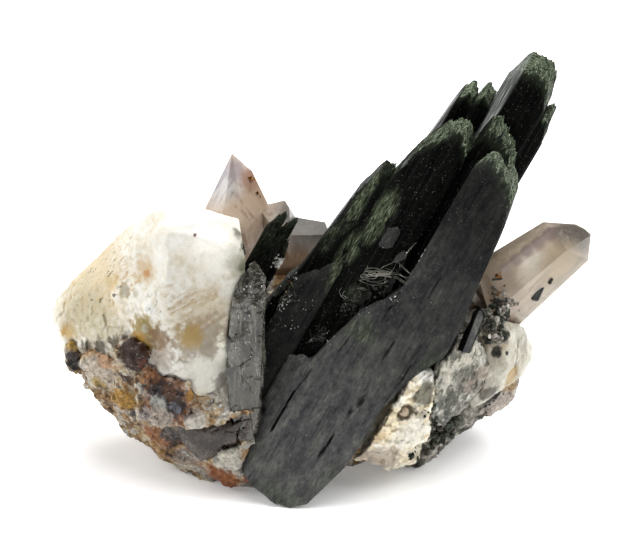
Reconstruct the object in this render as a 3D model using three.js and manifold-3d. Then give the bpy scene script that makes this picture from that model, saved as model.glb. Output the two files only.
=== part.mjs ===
// Aegirine cluster: a bundle of black aegirine blades grown through feldspar and smoky quartz.
// Millimetres, +Z up. The specimen rests on z = 0, with the origin under the middle of its box.

import * as THREE from 'three';
import { ConvexGeometry } from 'three/addons/geometries/ConvexGeometry.js';
import { ConvexHull } from 'three/addons/math/ConvexHull.js';
import { ImprovedNoise } from 'three/addons/math/ImprovedNoise.js';
import { mergeVertices } from 'three/addons/utils/BufferGeometryUtils.js';
import Module from 'manifold-3d';

const kernel = await Module();
kernel.setup();

// ---------------------------------------------------------------------------------------------
// Driving dimensions
// ---------------------------------------------------------------------------------------------

const GAP = 0.3; // clearance between a crystal and the socket that its neighbour forms around it
const REST_LEVEL = 0; // the specimen stands on what is cut flat here
const MIDDLE = new THREE.Vector3(-0.15, -0.4, 0); // middle of the box, moved to the origin
const CUT_SIZE = 120; // edge of the block that trims everything under the rest level

// The blades share one frame: S runs across the broad face, N out of it, D along the blades.
const BUNDLE_ORIGIN = new THREE.Vector3(0, 0, 26);
const ALONG = new THREE.Vector3(0.489, 0.17, 0.856).normalize();
const ACROSS = new THREE.Vector3(0.866, -0.2113, -0.453).projectOnPlane(ALONG).normalize();
const INWARD = new THREE.Vector3().crossVectors(ALONG, ACROSS);

// Blades, by group. left..right is the width (S), back..front the depth (N), and foot..tips the
// length (D), where foot and tips each give the height at the left and the right edge.
// frontLeft sets the left front edge back, so that the face turns away there.
const BLADES = {
  plate: [
    { left: 1.3, right: 4.3, back: 1.5, front: 8, frontLeft: 5.4, foot: [-22.8, -26.2], tips: [-8.3, -7] },
    { left: 4.0, right: 6.3, back: 1, front: 8, foot: [-26.2, -27.1], tips: [-5.6, 1] },
    { left: 6.1, right: 9.4, back: 1, front: 7.9, foot: [-27.1, -27.5], tips: [1.6, 6.2] },
    { left: 9.2, right: 11.5, back: 0.5, front: 8, foot: [-27.5, -26.9], tips: [7.4, 8] },
    { left: 9.7, right: 11.5, back: 0.5, front: 7.5, foot: [-20, -20], tips: [27.2, 28] },
    { left: 11.3, right: 13.2, back: 0.5, front: 7.95, foot: [-26.9, -25.4], tips: [28, 27.3] },
    { left: 13.0, right: 15.2, back: 0.5, front: 8, foot: [-25.4, -18], tips: [27.1, 25.6] },
    { left: 15.0, right: 16.1, back: 0.5, front: 7.8, foot: [-18, -15], tips: [-9.5, -11.2] },
    { left: 15.0, right: 16.2, back: 0.5, front: 7.8, foot: [-6, -4], tips: [25.2, 24.2] },
  ],
  plateEdge: [
    { left: 16.0, right: 17.5, back: 1, front: 7.6, foot: [-3, -1.2], tips: [24, 18.6] },
    { left: 17.2, right: 18.9, back: 1.5, front: 7.3, foot: [-1.4, 0.4], tips: [13.6, 7.6] },
  ],
  splinters: [
    { left: 6.3, right: 7.3, back: 1, front: 6.6, foot: [-2, -2], tips: [24.2, 26] },
    { left: 7.1, right: 8.2, back: 1, front: 7.0, foot: [-2, -2], tips: [25.4, 26.4] },
    { left: 8.0, right: 9.0, back: 1, front: 6.7, foot: [-2, -2], tips: [26.8, 26.1] },
    { left: 8.8, right: 9.9, back: 1, front: 7.2, foot: [-2, -2], tips: [26.3, 27.4] },
  ],
  glossy: [
    { left: 1.2, right: 2.7, back: -1, front: 4.6, foot: [-14, -14], tips: [20, 23.8] },
    { left: 2.5, right: 4.0, back: -1, front: 5.2, foot: [-14, -14], tips: [23.6, 26] },
    { left: 3.8, right: 5.3, back: -1, front: 5.5, foot: [-14, -14], tips: [26.2, 28] },
    { left: 5.1, right: 6.8, back: -1, front: 5.7, foot: [-14, -14], tips: [28.2, 28.4] },
    { left: 6.6, right: 8.4, back: -1, front: 5.9, foot: [-14, -14], tips: [28.3, 26.1] },
    { left: 3.9, right: 6.4, back: 4, front: 6.8, foot: [5.6, 5.6], tips: [11.3, 12.9] },
  ],
  leftRidge: [
    { left: -5.2, right: -4.0, back: -1.5, front: 2.2, foot: [-13, -13], tips: [-5.2, -1] },
    { left: -4.2, right: -3.0, back: -1.5, front: 2.9, foot: [-14, -14], tips: [-0.4, 1] },
    { left: -3.1, right: -2.2, back: -1.5, front: 2.4, frontLeft: 0.6, foot: [-15, -15], tips: [1, 6.4] },
    { left: -2.4, right: -1.5, back: -1.5, front: 2.9, frontLeft: 1.8, foot: [-15, -15], tips: [8.8, 14] },
    { left: -1.7, right: -0.2, back: -1.5, front: 3.4, foot: [-16, -16], tips: [14.6, 18.2] },
    { left: -0.4, right: 1.5, back: -1.5, front: 3.9, foot: [-18, -18], tips: [18.4, 18.7] },
    { left: -3.0, right: -0.6, back: 1, front: 3.9, foot: [-16, -16], tips: [0.2, 1.8] },
    { left: -0.8, right: 1.8, back: 1, front: 4.8, foot: [-18, -18], tips: [3.8, 6] },
  ],
  middle: [
    { left: 7.9, right: 8.9, back: -1.6, front: 4.4, foot: [-4, -4], tips: [27.4, 31] },
    { left: 8.7, right: 11.4, back: -1.6, front: 5, foot: [-4, -4], tips: [31, 30] },
    { left: 11.2, right: 14.4, back: -1.6, front: 4.8, foot: [-4, -4], tips: [29.9, 28.5] },
  ],
  rearTall: [
    { left: 7.8, right: 9.3, back: -6.4, front: -1.4, frontLeft: -3.8, foot: [-12, -12], tips: [36.9, 39.5] },
    { left: 9.1, right: 12.1, back: -7, front: -1.2, foot: [-12, -12], tips: [39.6, 39.9] },
    { left: 11.9, right: 13.3, back: -7, front: -1, foot: [-12, -12], tips: [39.9, 39.2] },
    { left: 13.1, right: 14.4, back: -6.7, front: -1.2, foot: [-12, -12], tips: [39.2, 37.0] },
    { left: 14.2, right: 15.3, back: -6.3, front: -1.6, foot: [-12, -12], tips: [34.9, 35.1] },
    { left: 15.0, right: 16.1, back: -6, front: -2, foot: [14, 20], tips: [34.9, 32.4] },
  ],
  rearShort: [
    { left: 2.7, right: 3.6, back: -7.4, front: -3.4, foot: [-10, -10], tips: [23.6, 31] },
    { left: 3.4, right: 4.6, back: -8, front: -2.9, foot: [-10, -10], tips: [31.1, 32.6] },
    { left: 4.4, right: 5.8, back: -8, front: -3.2, foot: [-10, -10], tips: [32.4, 31.8] },
    { left: 5.6, right: 6.5, back: -7.8, front: -2.8, foot: [-10, -10], tips: [32.4, 33.2] },
    { left: 6.3, right: 7.9, back: -7.6, front: -3.1, foot: [-10, -10], tips: [33.2, 32.2] },
  ],
  heart: [
    { left: 1.6, right: 15, back: -4.6, front: 1.2, foot: [-15, -15], tips: [17, 24] },
  ],
};

// A pair of small blades and a splinter that stand left of the bundle, in the bundle's frame.
const SPRIG_BLADES = [
  { left: -9.5, right: -7.8, back: 2.2, front: 4.6, foot: [-6.5, -6.5], tips: [5.6, 6.7] },
  { left: -8.0, right: -6.3, back: 1.6, front: 4.1, foot: [-6, -6], tips: [5.4, 6.8] },
  { left: -6.5, right: -5.5, back: 1.4, front: 3.4, foot: [-5, -5], tips: [3.4, 2.2] },
];

const BLADE_BEVEL = 0.3; // width of the bevel down each front edge of a blade
const TIP_FALL = 0.22; // how far a tip falls towards the front, per millimetre of depth
const FOOT_RISE = 0.05; // how far a foot rises towards the front, per millimetre of depth

const STUB_SIDES = 6;
const STUB_BEVEL = 0.8; // length of a stub's bevelled end, against its radius
const STUB_END = 0.4; // width of its flat end, against its width

const FINER = 2.7; // the small relief of a rock repeats this many times inside the large one
const FINE_SHARE = 0.45; // height of the small relief, against the large one
const SLANT_MARGIN = 1.3; // a rock's room is pushed out along rays, which meet its faces at a slant
const ROOT_RISE = 0.4; // a boss is rooted this much higher than its rim, per depth

const WELD = 1e-5; // vertices this close are one
const BALL_WELD = 1e-4; // the same on a ball of radius 1
const FACING = 1e-6; // a face turned less than this towards a ray is not met by it

// ---------------------------------------------------------------------------------------------
// Solids and meshes
// ---------------------------------------------------------------------------------------------

function toSolid(geometry) {
  const bare = geometry.clone();
  bare.deleteAttribute('normal');
  bare.deleteAttribute('uv');
  const merged = mergeVertices(bare, WELD);
  const vertProperties = new Float32Array(merged.attributes.position.array);
  const triVerts = new Uint32Array(merged.index.array);
  return new kernel.Manifold(new kernel.Mesh({ numProp: 3, vertProperties, triVerts }));
}

// Keeps the largest closed shell of a cut solid, so that loose crumbs are left out.
function toGeometry(solid) {
  const { vertProperties, triVerts } = solid.getMesh();
  const owner = Array.from({ length: vertProperties.length / 3 }, (_, i) => i);
  const root = (i) => {
    while (owner[i] !== i) {
      owner[i] = owner[owner[i]];
      i = owner[i];
    }
    return i;
  };
  for (let k = 0; k < triVerts.length; k += 3) {
    owner[root(triVerts[k + 1])] = root(triVerts[k]);
    owner[root(triVerts[k + 2])] = root(triVerts[k]);
  }
  const shells = new Map();
  for (let k = 0; k < triVerts.length; k += 3) {
    const key = root(triVerts[k]);
    if (!shells.has(key)) shells.set(key, []);
    shells.get(key).push(triVerts[k], triVerts[k + 1], triVerts[k + 2]);
  }
  const largest = [...shells.values()].sort((a, b) => b.length - a.length)[0];
  const geometry = new THREE.BufferGeometry();
  geometry.setAttribute('position', new THREE.BufferAttribute(new Float32Array(vertProperties), 3));
  geometry.setIndex(largest);
  const loose = geometry.toNonIndexed();
  const clean = mergeVertices(loose, WELD);
  clean.computeVertexNormals();
  return clean;
}

const joined = (solids) => solids.reduce((whole, solid) => whole.add(solid));

const point = ([x, y, z]) => new THREE.Vector3(x, y, z);

// Points pushed out by a small cube each: their hull lies at least `gap` outside the first hull.
function grown(points, gap) {
  if (gap === 0) return points;
  const signs = [-gap, gap];
  return points.flatMap((p) =>
    signs.flatMap((x) =>
      signs.flatMap((y) => signs.map((z) => new THREE.Vector3(p.x + x, p.y + y, p.z + z)))));
}

const hullSolid = (points, gap = 0) => toSolid(new ConvexGeometry(grown(points, gap)));

// A crystal given by the corners of its faces.
const crystal = (corners, gap = 0) => hullSolid(corners.map(point), gap);

// ---------------------------------------------------------------------------------------------
// Rough rock
// ---------------------------------------------------------------------------------------------

const noise = new ImprovedNoise();

// Distance from a hull's centre to its faces, along a direction.
function reach(hull, centre, direction) {
  let nearest = Infinity;
  for (const face of hull.faces) {
    const facing = face.normal.dot(direction);
    if (facing > FACING) nearest = Math.min(nearest, -face.distanceToPoint(centre) / facing);
  }
  return nearest;
}

// A lump whose surface follows the hull of its corners, with relief of two sizes.
// A swell above 0 pushes the relief out and then trims it by the hull, which keeps flat faces.
function rock({ corners, relief, grain, facets, seed, swell = 0 }, gap = 0) {
  const points = corners.map(point);
  const hull = new ConvexHull().setFromPoints(points);
  const centre = points.reduce((sum, p) => sum.add(p), new THREE.Vector3());
  centre.divideScalar(points.length);
  const ball = new THREE.IcosahedronGeometry(1, facets);
  ball.deleteAttribute('normal');
  ball.deleteAttribute('uv');
  const lump = mergeVertices(ball, BALL_WELD);
  const place = lump.attributes.position;
  const direction = new THREE.Vector3();
  const surface = new THREE.Vector3();
  for (let i = 0; i < place.count; i += 1) {
    direction.fromBufferAttribute(place, i).normalize();
    const span = reach(hull, centre, direction);
    surface.copy(centre).addScaledVector(direction, span);
    const coarse = noise.noise(surface.x / grain + seed, surface.y / grain, surface.z / grain);
    surface.multiplyScalar(FINER);
    const fine = noise.noise(surface.x / grain, surface.y / grain + seed, surface.z / grain);
    surface.divideScalar(FINER);
    const height = relief * (coarse + FINE_SHARE * fine) + swell + SLANT_MARGIN * gap;
    surface.addScaledVector(direction, height);
    place.setXYZ(i, surface.x, surface.y, surface.z);
  }
  const rough = toSolid(lump);
  return swell > 0 ? rough.intersect(hullSolid(points, gap)) : rough;
}

// ---------------------------------------------------------------------------------------------
// Aegirine
// ---------------------------------------------------------------------------------------------

const bladePlace = (s, n, t) => BUNDLE_ORIGIN.clone()
  .addScaledVector(ACROSS, s)
  .addScaledVector(INWARD, -n)
  .addScaledVector(ALONG, t);

// The corners of a blade: a bar with two bevelled front edges, a broken foot and a sloping tip.
function bladeCorners({ left, right, back, front, frontLeft = front, foot, tips }) {
  const b = BLADE_BEVEL;
  const section = [
    [left, back], [right, back], [right, front - b], [right - b, front],
    [left + b, frontLeft], [left, frontLeft - b],
  ];
  return section.flatMap(([s, n]) => {
    const share = (s - left) / (right - left);
    const low = THREE.MathUtils.lerp(...foot, share) + FOOT_RISE * (n - back);
    const tip = THREE.MathUtils.lerp(...tips, share) - TIP_FALL * (n - back);
    return [bladePlace(s, n, low), bladePlace(s, n, tip)];
  });
}

const bladesSolid = (blades, gap = 0) =>
  joined(blades.map((blade) => hullSolid(bladeCorners(blade), gap)));

// The room that the bundle takes in its matrix: one plain hull for each group of blades.
const bundleRoom = (gap) =>
  joined(Object.values(BLADES).map((blades) => hullSolid(blades.flatMap(bladeCorners), gap)));

const bundleSolid = (gap = 0) => bladesSolid(Object.values(BLADES).flat(), gap);

const sprigSolid = (gap = 0) => bladesSolid(SPRIG_BLADES, gap);

// The corners of a stubby prism with a bevelled end, for the small crystals on the right.
function stubCorners({ base, end, radius, turn }) {
  const from = point(base);
  const to = point(end);
  const axis = to.clone().sub(from).normalize();
  const side = ACROSS.clone().projectOnPlane(axis).normalize();
  const up = new THREE.Vector3().crossVectors(axis, side);
  const corners = [];
  for (let k = 0; k < STUB_SIDES; k += 1) {
    const angle = turn + (2 * Math.PI * k) / STUB_SIDES;
    const rim = side.clone().multiplyScalar(Math.cos(angle)).addScaledVector(up, Math.sin(angle));
    const shoulder = to.clone().addScaledVector(axis, -STUB_BEVEL * radius);
    corners.push(from.clone().addScaledVector(rim, radius));
    corners.push(shoulder.addScaledVector(rim, radius));
    corners.push(to.clone().addScaledVector(rim, STUB_END * radius));
  }
  return corners;
}

const PRISM = { base: [18.6, -8.9, 20.2], end: [20.5, -8.7, 25.9], radius: 0.95, turn: 0.4 };

const prismSolid = (gap = 0) => hullSolid(stubCorners(PRISM), gap);

const DARK_CLUSTER = [
  { base: [22.4, -3.6, 21.0], end: [22.6, -6.0, 24.3], radius: 1.1, turn: 0.2 },
  { base: [23.6, -3.4, 21.0], end: [24.1, -5.4, 22.9], radius: 1.2, turn: 0.9 },
  { base: [23.2, -3.8, 20.0], end: [23.1, -6.4, 21.6], radius: 1.0, turn: 0.5 },
  { base: [22.0, -3.8, 20.6], end: [21.4, -6.4, 22.6], radius: 0.9, turn: 1.2 },
];

const darkClusterSolid = () => joined(DARK_CLUSTER.map((stub) => hullSolid(stubCorners(stub))));

const darkClusterRoom = (gap) => hullSolid(DARK_CLUSTER.flatMap(stubCorners), gap);

const KNOBS = [
  { base: [14.3, -6.4, 10], end: [13.1, -8.6, 3.2], radius: 1.3, turn: 0.3 },
  { base: [15.2, -5.2, 7.4], end: [16.2, -7.0, 6.4], radius: 1.2, turn: 0.8 },
  { base: [16.4, -3.4, 6.8], end: [18.0, -5.4, 6.9], radius: 1.1, turn: 0.1 },
  { base: [15.4, -3.2, 4.9], end: [17.1, -5.2, 4.6], radius: 1.3, turn: 0.6 },
  { base: [14.4, -4.2, 4.6], end: [15.0, -6.6, 2.9], radius: 1.2, turn: 0.2 },
];

const knobsSolid = (gap = 0) => joined(KNOBS.map((stub) => hullSolid(stubCorners(stub), gap)));

// ---------------------------------------------------------------------------------------------
// Quartz
// ---------------------------------------------------------------------------------------------

// The right-hand point: a six-sided prism that leans out of the matrix, with a low chisel tip.
const RIGHT_POINT = {
  shoulder: [
    [29.4, 4.2, 32.5], [30.3, 1.2, 32.8], [32.2, -0.2, 30.4], [35.4, 2.4, 27.7],
    [33.6, 6.4, 28.2], [30.9, 7.2, 30.9],
  ],
  tip: [[33.8, 4.8, 31.9], [34.9, 4.6, 31.4], [35.8, 4.0, 30.8], [35.4, 3.2, 29.4]],
  base: [
    [20.4, 3, 27], [22.2, -1.2, 26.7], [23.3, -2.8, 23.1], [23.8, 1, 16],
    [24.5, 7, 15.2], [21.7, 8.4, 20.6],
  ],
};

const rightPointSolid = (gap = 0) => crystal(Object.values(RIGHT_POINT).flat(), gap);

const REAR_POINT = [
  [-11.6, 8, 40.7], [-15.3, 8, 32.8], [-16, 7.4, 28], [-9.9, 4, 31.1], [-13.4, 4.6, 29.2],
  [-9, 8.4, 38], [-7.7, 8.4, 34.7], [-6.9, 8, 33.4], [-11, 12.6, 33], [-14.4, 12, 28],
  [-7, 12, 29], [-14, 6, 21], [-8, 5, 21], [-9, 11, 21], [-14, 11, 21],
];
const REAR_RIDGE = [
  [-8.2, 7.6, 33.2], [-4.7, 8, 34], [-4.1, 8, 32.9], [-2.7, 4.4, 24.9], [-6.2, 5, 31.2],
  [-3.8, 4.8, 30.2], [-6, 11.6, 29], [-6, 5, 20], [-2, 11.2, 28], [-2, 10, 20], [-9, 10, 20],
];
const REAR_SLAB = [
  [-4.2, 8, 31.7], [0.7, 8, 30.8], [1.3, 6.6, 29.6], [-4, 5, 30.2], [-2.7, 4.2, 24.9],
  [1, 5.6, 22], [-4, 5, 20], [1, 11, 27], [-4, 11.4, 27.6], [0.6, 10, 20], [-4, 10, 20],
];

const rearQuartzSolid = (gap = 0) =>
  joined([REAR_POINT, REAR_RIDGE, REAR_SLAB].map((corners) => crystal(corners, gap)));

const COLUMN = [
  [-8.3, -8, 32.1], [-7.3, -8.6, 30.3], [-9.8, -8.6, 30.6], [-11.0, -9.6, 27.6],
  [-7.4, -10.3, 24.4], [-11.9, -10.6, 21.5], [-7.9, -11.6, 13.6], [-11.6, -11.6, 13.8],
  [-8.6, -12.2, 9], [-10.6, -12, 8.6], [-7.6, -4.6, 29], [-10.6, -4.6, 26], [-7.4, -5, 12],
  [-11, -5, 10],
];

const columnSolid = (gap = 0) => crystal(COLUMN, gap);

// ---------------------------------------------------------------------------------------------
// Feldspar and matrix
// ---------------------------------------------------------------------------------------------

const FELDSPAR = {
  corners: [
    [-19.9, -7, 36.4], [-19, -8.6, 33.3], [-19.5, -9, 30.6], [-20.9, -8.4, 28.3],
    [-10.4, -7, 33.8], [-9.6, -8, 29.9], [-11.3, -9.6, 25], [-11.6, -10, 15.4],
    [-13.6, -10.8, 13.4], [-17, -10.4, 16], [-20, -9.4, 20.3], [-21.9, -2, 36.3],
    [-20.6, -3.4, 37.7], [-17.4, -2, 37.4], [-14.3, -3, 37.2], [-10.3, -4, 37],
    [-26.6, 2, 31.2], [-30.4, 4, 26.2], [-34.4, 5, 21.9], [-36.8, 5, 18.8], [-37.4, 4, 16.4],
    [-36.2, 2.6, 14.4], [-28, -4.2, 17.2], [-24, -7.2, 20.8], [-11, 5, 31.4], [-12, 9, 27],
    [-18, 7, 31.6], [-26, 9, 26.4], [-32, 9.6, 19.4], [-30, 8, 13.6], [-14, 9, 15],
    [-12, 2, 13],
  ],
  relief: 0.7,
  grain: 6,
  facets: 4,
  seed: 3.1,
  swell: 0.5,
};

const RUSTY_LEFT = {
  corners: [
    [-35.2, 4.4, 15.6], [-33.6, 1.4, 12.6], [-31.2, 0.4, 9], [-27.1, -1, 6], [-24.5, -2, 3.5],
    [-21.5, -3.4, 1.7], [-16.7, -6, -0.4], [-12, -8, -1], [-8.6, -8.6, -1], [-27.6, -5, 17.4],
    [-24, -7.6, 21.4], [-20, -9.4, 20.2], [-15, -10.6, 14.6], [-16, -10.8, 10], [-10.4, -11.8, 9],
    [-7, -11.8, 12], [-7, -11.8, 3.6], [-13, -10.6, 3], [-21, -8.2, 7], [-28, -4.4, 10.5],
    [-31, 8.6, 17], [-28, 9, 10], [-20, 10, 5], [-12, 10, -1], [-6, 8, -1], [-6, 0, 20],
    [-20, 5, 22],
  ],
  relief: 0.9,
  grain: 4.4,
  facets: 5,
  seed: 7.7,
};

const RUSTY_HEART = {
  corners: [
    [-15, -1, -2.4], [-15, 9, -2.4], [-15, 13.4, 7], [-16.4, 13.6, 18], [-15.4, 7, 25.4],
    [-5, 4.6, 25.4], [0.4, 12.6, 24], [8, 12.4, 21.6], [10.4, 13, 10], [8, 11.6, -2.4],
    [9, -3, -2.4], [10.6, -4, 12], [5, 0, 22], [-3, 13.6, 3], [-4, -6, 10],
  ],
  relief: 1.1,
  grain: 5,
  facets: 3,
  seed: 21.3,
};

// Lumps and ledges on the front of the rusty matrix. A rim is what shows of each from the front,
// bulge is how far its middle stands out of the rim, and depth how far it is rooted behind it.
const RUSTY_BOSSES = [
  { rim: [[-34.1, -0.3, 15.1], [-33.1, -1.3, 16.5], [-31.9, -1.6, 16.2], [-31.7, -1.5, 14.1],
    [-32.5, -0.5, 12.3], [-33.8, 0.5, 13.3]], bulge: 0.7, depth: 4 },
  { rim: [[-31.9, -2.3, 14.8], [-30.2, -3.6, 16.7], [-27.2, -5, 17.3], [-26.5, -5.2, 15.3],
    [-26.9, -4.4, 12.7], [-29.2, -2.8, 11.1], [-31.3, -1.4, 11.1]], bulge: 0.9, depth: 5 },
  { rim: [[-28.2, -4.4, 10.6], [-27.2, -5, 12.3], [-25.2, -6.2, 13.3], [-24.4, -6.5, 11.6],
    [-24.7, -6, 9.5], [-26.6, -4.4, 8.7]], bulge: 0.8, depth: 5 },
  { rim: [[-22.6, -8.6, 14.7], [-20, -10.1, 16.1], [-16.7, -11.3, 16.4], [-16.5, -11.5, 13.6],
    [-17.4, -11.2, 11.1], [-20.8, -9.6, 10.8], [-23.4, -7.8, 10.1], [-23.9, -7.6, 12.5]],
  bulge: 0.5, depth: 4 },
  { rim: [[-26.3, -6.8, 19.7], [-24.2, -8.2, 21.3], [-21.6, -9.6, 20], [-22.4, -9.4, 18.6],
    [-24.1, -8.6, 16.2], [-26, -7.2, 16.3]], bulge: 0.4, depth: 4 },
  { rim: [[-23.6, -7.9, 9.2], [-23.3, -8.2, 10.4], [-16.8, -11.7, 11.5], [-13.5, -12.3, 12.6],
    [-8.7, -12.4, 13], [-10.3, -12.5, 12.1], [-13.6, -12.2, 11.3], [-16.8, -11.5, 10.4],
    [-20.2, -9.7, 9.6]], bulge: 0.3, depth: 3 },
  { rim: [[-14.9, -10.4, 4.6], [-14, -11.5, 7.2], [-10.9, -12.3, 9.3], [-9.6, -12.4, 9],
    [-9.8, -12.2, 4.6], [-12.8, -11.2, 3.6]], bulge: 0.4, depth: 4 },
];

const LOWER_QUARTZ = [
  [-18.5, -10.4, 9.9], [-12, -12, 11], [-9, -12.4, 11.9], [-9.4, -12.5, 9.4], [-14, -11.9, 7.6],
  [-15.6, -10.6, 4.8], [-17.9, -9.8, 7], [-14, -12.1, 9.6], [-17, -6, 9.5], [-10, -7, 11.2],
  [-15.2, -6.6, 5.4], [-10, -7, 9],
];

const CREAM_LUMP = {
  corners: [
    [4.0, -10, 5.0], [5.0, -11.4, 9.9], [7.8, -12.2, 13.7], [10.2, -12.4, 16.9],
    [12.2, -11.6, 18.7], [13.8, -10.8, 19], [14.9, -9.8, 16.2], [14.6, -10.2, 13.5],
    [13.9, -10, 9.1], [12.9, -9, 6], [13.2, -7, 2.4], [10.9, -8.4, 2.2], [7.1, -9.4, 2.6],
    [6, -4, 4], [13, -4, 3], [14, -4, 16], [7, -5, 12],
  ],
  relief: 0.5,
  grain: 3.2,
  facets: 4,
  seed: 12.9,
};

const MOTTLED_BLADE = {
  corners: [
    [15.5, -9.9, 19.2], [18.0, -9.1, 22.4], [18.8, -8.6, 22], [19.6, -8.4, 19.9],
    [21.6, -7, 19.2], [21.8, -7, 16], [21, -6.4, 13.4], [19.5, -5.8, 10.8], [17.6, -6.2, 8.6],
    [15.4, -8.2, 8], [14.5, -9.2, 11], [14.3, -9.9, 13.6], [14.7, -10.1, 16], [16, -4, 19],
    [20, -3, 20], [20, -2, 12], [15, -4, 9],
  ],
  relief: 0.45,
  grain: 3,
  facets: 3,
  seed: 2.2,
};

const RIGHT_LUMP = {
  corners: [
    [20, -6.8, 20.6], [21.5, -5.6, 22.6], [24.2, -3.6, 20.9], [26.9, 0.6, 19],
    [28.3, 2.4, 14.8], [28.2, 2.6, 12.3], [27, 1, 11.2], [23.8, -4.8, 12.4], [20.6, -6, 10.4],
    [19.4, -5.2, 9.4], [24.4, -5.8, 17], [25, 8, 9.4], [26, 8, 16], [20, 5, 20], [19, 2, 10],
  ],
  relief: 0.6,
  grain: 3.4,
  facets: 3,
  seed: 16.4,
};

const GREY_REAR = {
  corners: [
    [8, -5, 1.2], [13.6, -5.6, 1.6], [16.6, -3.4, 3], [19.4, -1.4, 5], [24, 1.6, 5.2],
    [26.6, 3.6, 5.8], [27.6, 4.4, 11], [26.6, 4.6, 18], [24, -1, 19.6], [19.6, -5, 20.6],
    [14.4, -7, 17.6], [9.6, -7, 9], [24.4, 11.4, 9], [24.8, 11, 17], [19, 11.6, 22.6],
    [10.6, 12, 23], [9, 12, -2.2], [18, 11, -2.2], [17.6, 2, -2.2], [9, -1, -2.2], [22, 10, 3],
  ],
  relief: 0.8,
  grain: 4,
  facets: 4,
  seed: 30.4,
};

function boss({ rim, bulge, depth }, gap = 0) {
  const corners = rim.map(point);
  const middle = corners.reduce((sum, p) => sum.add(p), new THREE.Vector3());
  middle.divideScalar(corners.length).add(new THREE.Vector3(0, -bulge, 0));
  const root = corners.map((p) => p.clone().add(new THREE.Vector3(0, depth, ROOT_RISE * depth)));
  return hullSolid([...corners, middle, ...root], gap);
}

const rustySolid = () =>
  joined([rock(RUSTY_LEFT), rock(RUSTY_HEART), ...RUSTY_BOSSES.map((b) => boss(b))]);

// ---------------------------------------------------------------------------------------------
// Assembly: each mineral is cut by the room that the ones grown before it take
// ---------------------------------------------------------------------------------------------

const belowRest = () => {
  const block = new THREE.BoxGeometry(CUT_SIZE, CUT_SIZE, CUT_SIZE);
  block.translate(0, 0, REST_LEVEL - CUT_SIZE / 2);
  return toSolid(block);
};

const less = (solid, rooms) => rooms.reduce((rest, room) => rest.subtract(room), solid);

function finish({ color, roughness, metalness = 0, opacity = 1 }) {
  return new THREE.MeshStandardMaterial({
    color, roughness, metalness, opacity, transparent: opacity < 1, flatShading: true,
  });
}

const FINISHES = {
  aegirine: finish({ color: 0x1d211f, roughness: 0.35 }),
  feldspar: finish({ color: 0xe6dcc4, roughness: 0.6 }),
  rusty: finish({ color: 0x9a7650, roughness: 0.85 }),
  pale: finish({ color: 0xcfc8b8, roughness: 0.7 }),
  smoky: finish({ color: 0xb9a08c, roughness: 0.15, opacity: 0.7 }),
  grey: finish({ color: 0x8f8c88, roughness: 0.3, opacity: 0.85 }),
};

function clusterOf() {
  const floor = belowRest();
  const blades = bundleSolid(GAP);
  const room = {
    bundle: bundleRoom(GAP),
    sprig: sprigSolid(GAP),
    prism: prismSolid(GAP),
    rightPoint: rightPointSolid(GAP),
    rearQuartz: rearQuartzSolid(GAP),
    column: columnSolid(GAP),
    lowerQuartz: crystal(LOWER_QUARTZ, GAP),
    feldspar: rock(FELDSPAR, GAP),
    darkCluster: darkClusterRoom(GAP),
    knobs: knobsSolid(GAP),
    creamLump: rock(CREAM_LUMP, GAP),
    mottledBlade: rock(MOTTLED_BLADE, GAP),
    rightLump: rock(RIGHT_LUMP, GAP),
    rustyHeart: rock(RUSTY_HEART, GAP),
  };
  const rightCrystals = [room.bundle, room.prism, room.rightPoint, room.darkCluster, room.knobs];
  const pieces = [
    ['aegirine_bundle', FINISHES.aegirine, bundleSolid()],
    ['aegirine_sprig', FINISHES.aegirine, less(sprigSolid(), [blades])],
    ['grey_quartz_column', FINISHES.grey, less(columnSolid(), [blades, room.sprig])],
    ['lower_smoky_quartz', FINISHES.grey, less(crystal(LOWER_QUARTZ), [blades, room.column])],
    ['rear_smoky_quartz', FINISHES.smoky, less(rearQuartzSolid(), [blades, room.sprig])],
    ['right_smoky_quartz', FINISHES.smoky, less(rightPointSolid(), [blades, room.prism])],
    ['feldspar_block', FINISHES.feldspar,
      less(rock(FELDSPAR), [room.bundle, room.sprig, room.column, room.rearQuartz, room.lowerQuartz])],
    ['small_aegirine_prism', FINISHES.aegirine, less(prismSolid(), [blades])],
    ['small_aegirine_cluster', FINISHES.aegirine,
      less(darkClusterSolid(), [room.rightPoint, room.prism])],
    ['aegirine_knobs', FINISHES.aegirine, less(knobsSolid(), [blades])],
    ['cream_feldspar_lump', FINISHES.feldspar, less(rock(CREAM_LUMP), rightCrystals)],
    ['mottled_feldspar_blade', FINISHES.pale,
      less(rock(MOTTLED_BLADE), [...rightCrystals, room.creamLump])],
    ['right_feldspar', FINISHES.feldspar,
      less(rock(RIGHT_LUMP), [...rightCrystals, room.mottledBlade])],
    ['rusty_matrix', FINISHES.rusty,
      less(rustySolid(),
        [room.bundle, room.sprig, room.column, room.rearQuartz, room.feldspar, room.lowerQuartz])],
    ['grey_matrix', FINISHES.pale,
      less(rock(GREY_REAR),
        [...rightCrystals, room.creamLump, room.mottledBlade, room.rightLump, room.rustyHeart])],
  ];
  const cluster = new THREE.Group();
  for (const [name, material, solid] of pieces) {
    const mesh = new THREE.Mesh(toGeometry(solid.subtract(floor)), material);
    mesh.name = name;
    cluster.add(mesh);
  }
  cluster.position.copy(MIDDLE).negate();
  return cluster;
}

export default clusterOf();
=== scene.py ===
# %% [markdown]
# # Aegirine cluster
# This lesson dresses a mineral specimen: black aegirine blades that grew through cream feldspar,
# rusty matrix and smoky quartz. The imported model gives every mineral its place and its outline,
# and each step here makes one mineral's fine shape and its finish.

# %% Load the frame
import math
import random

import bmesh
import bpy
from mathutils import Matrix, Vector, noise
from mathutils.bvhtree import BVHTree


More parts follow.
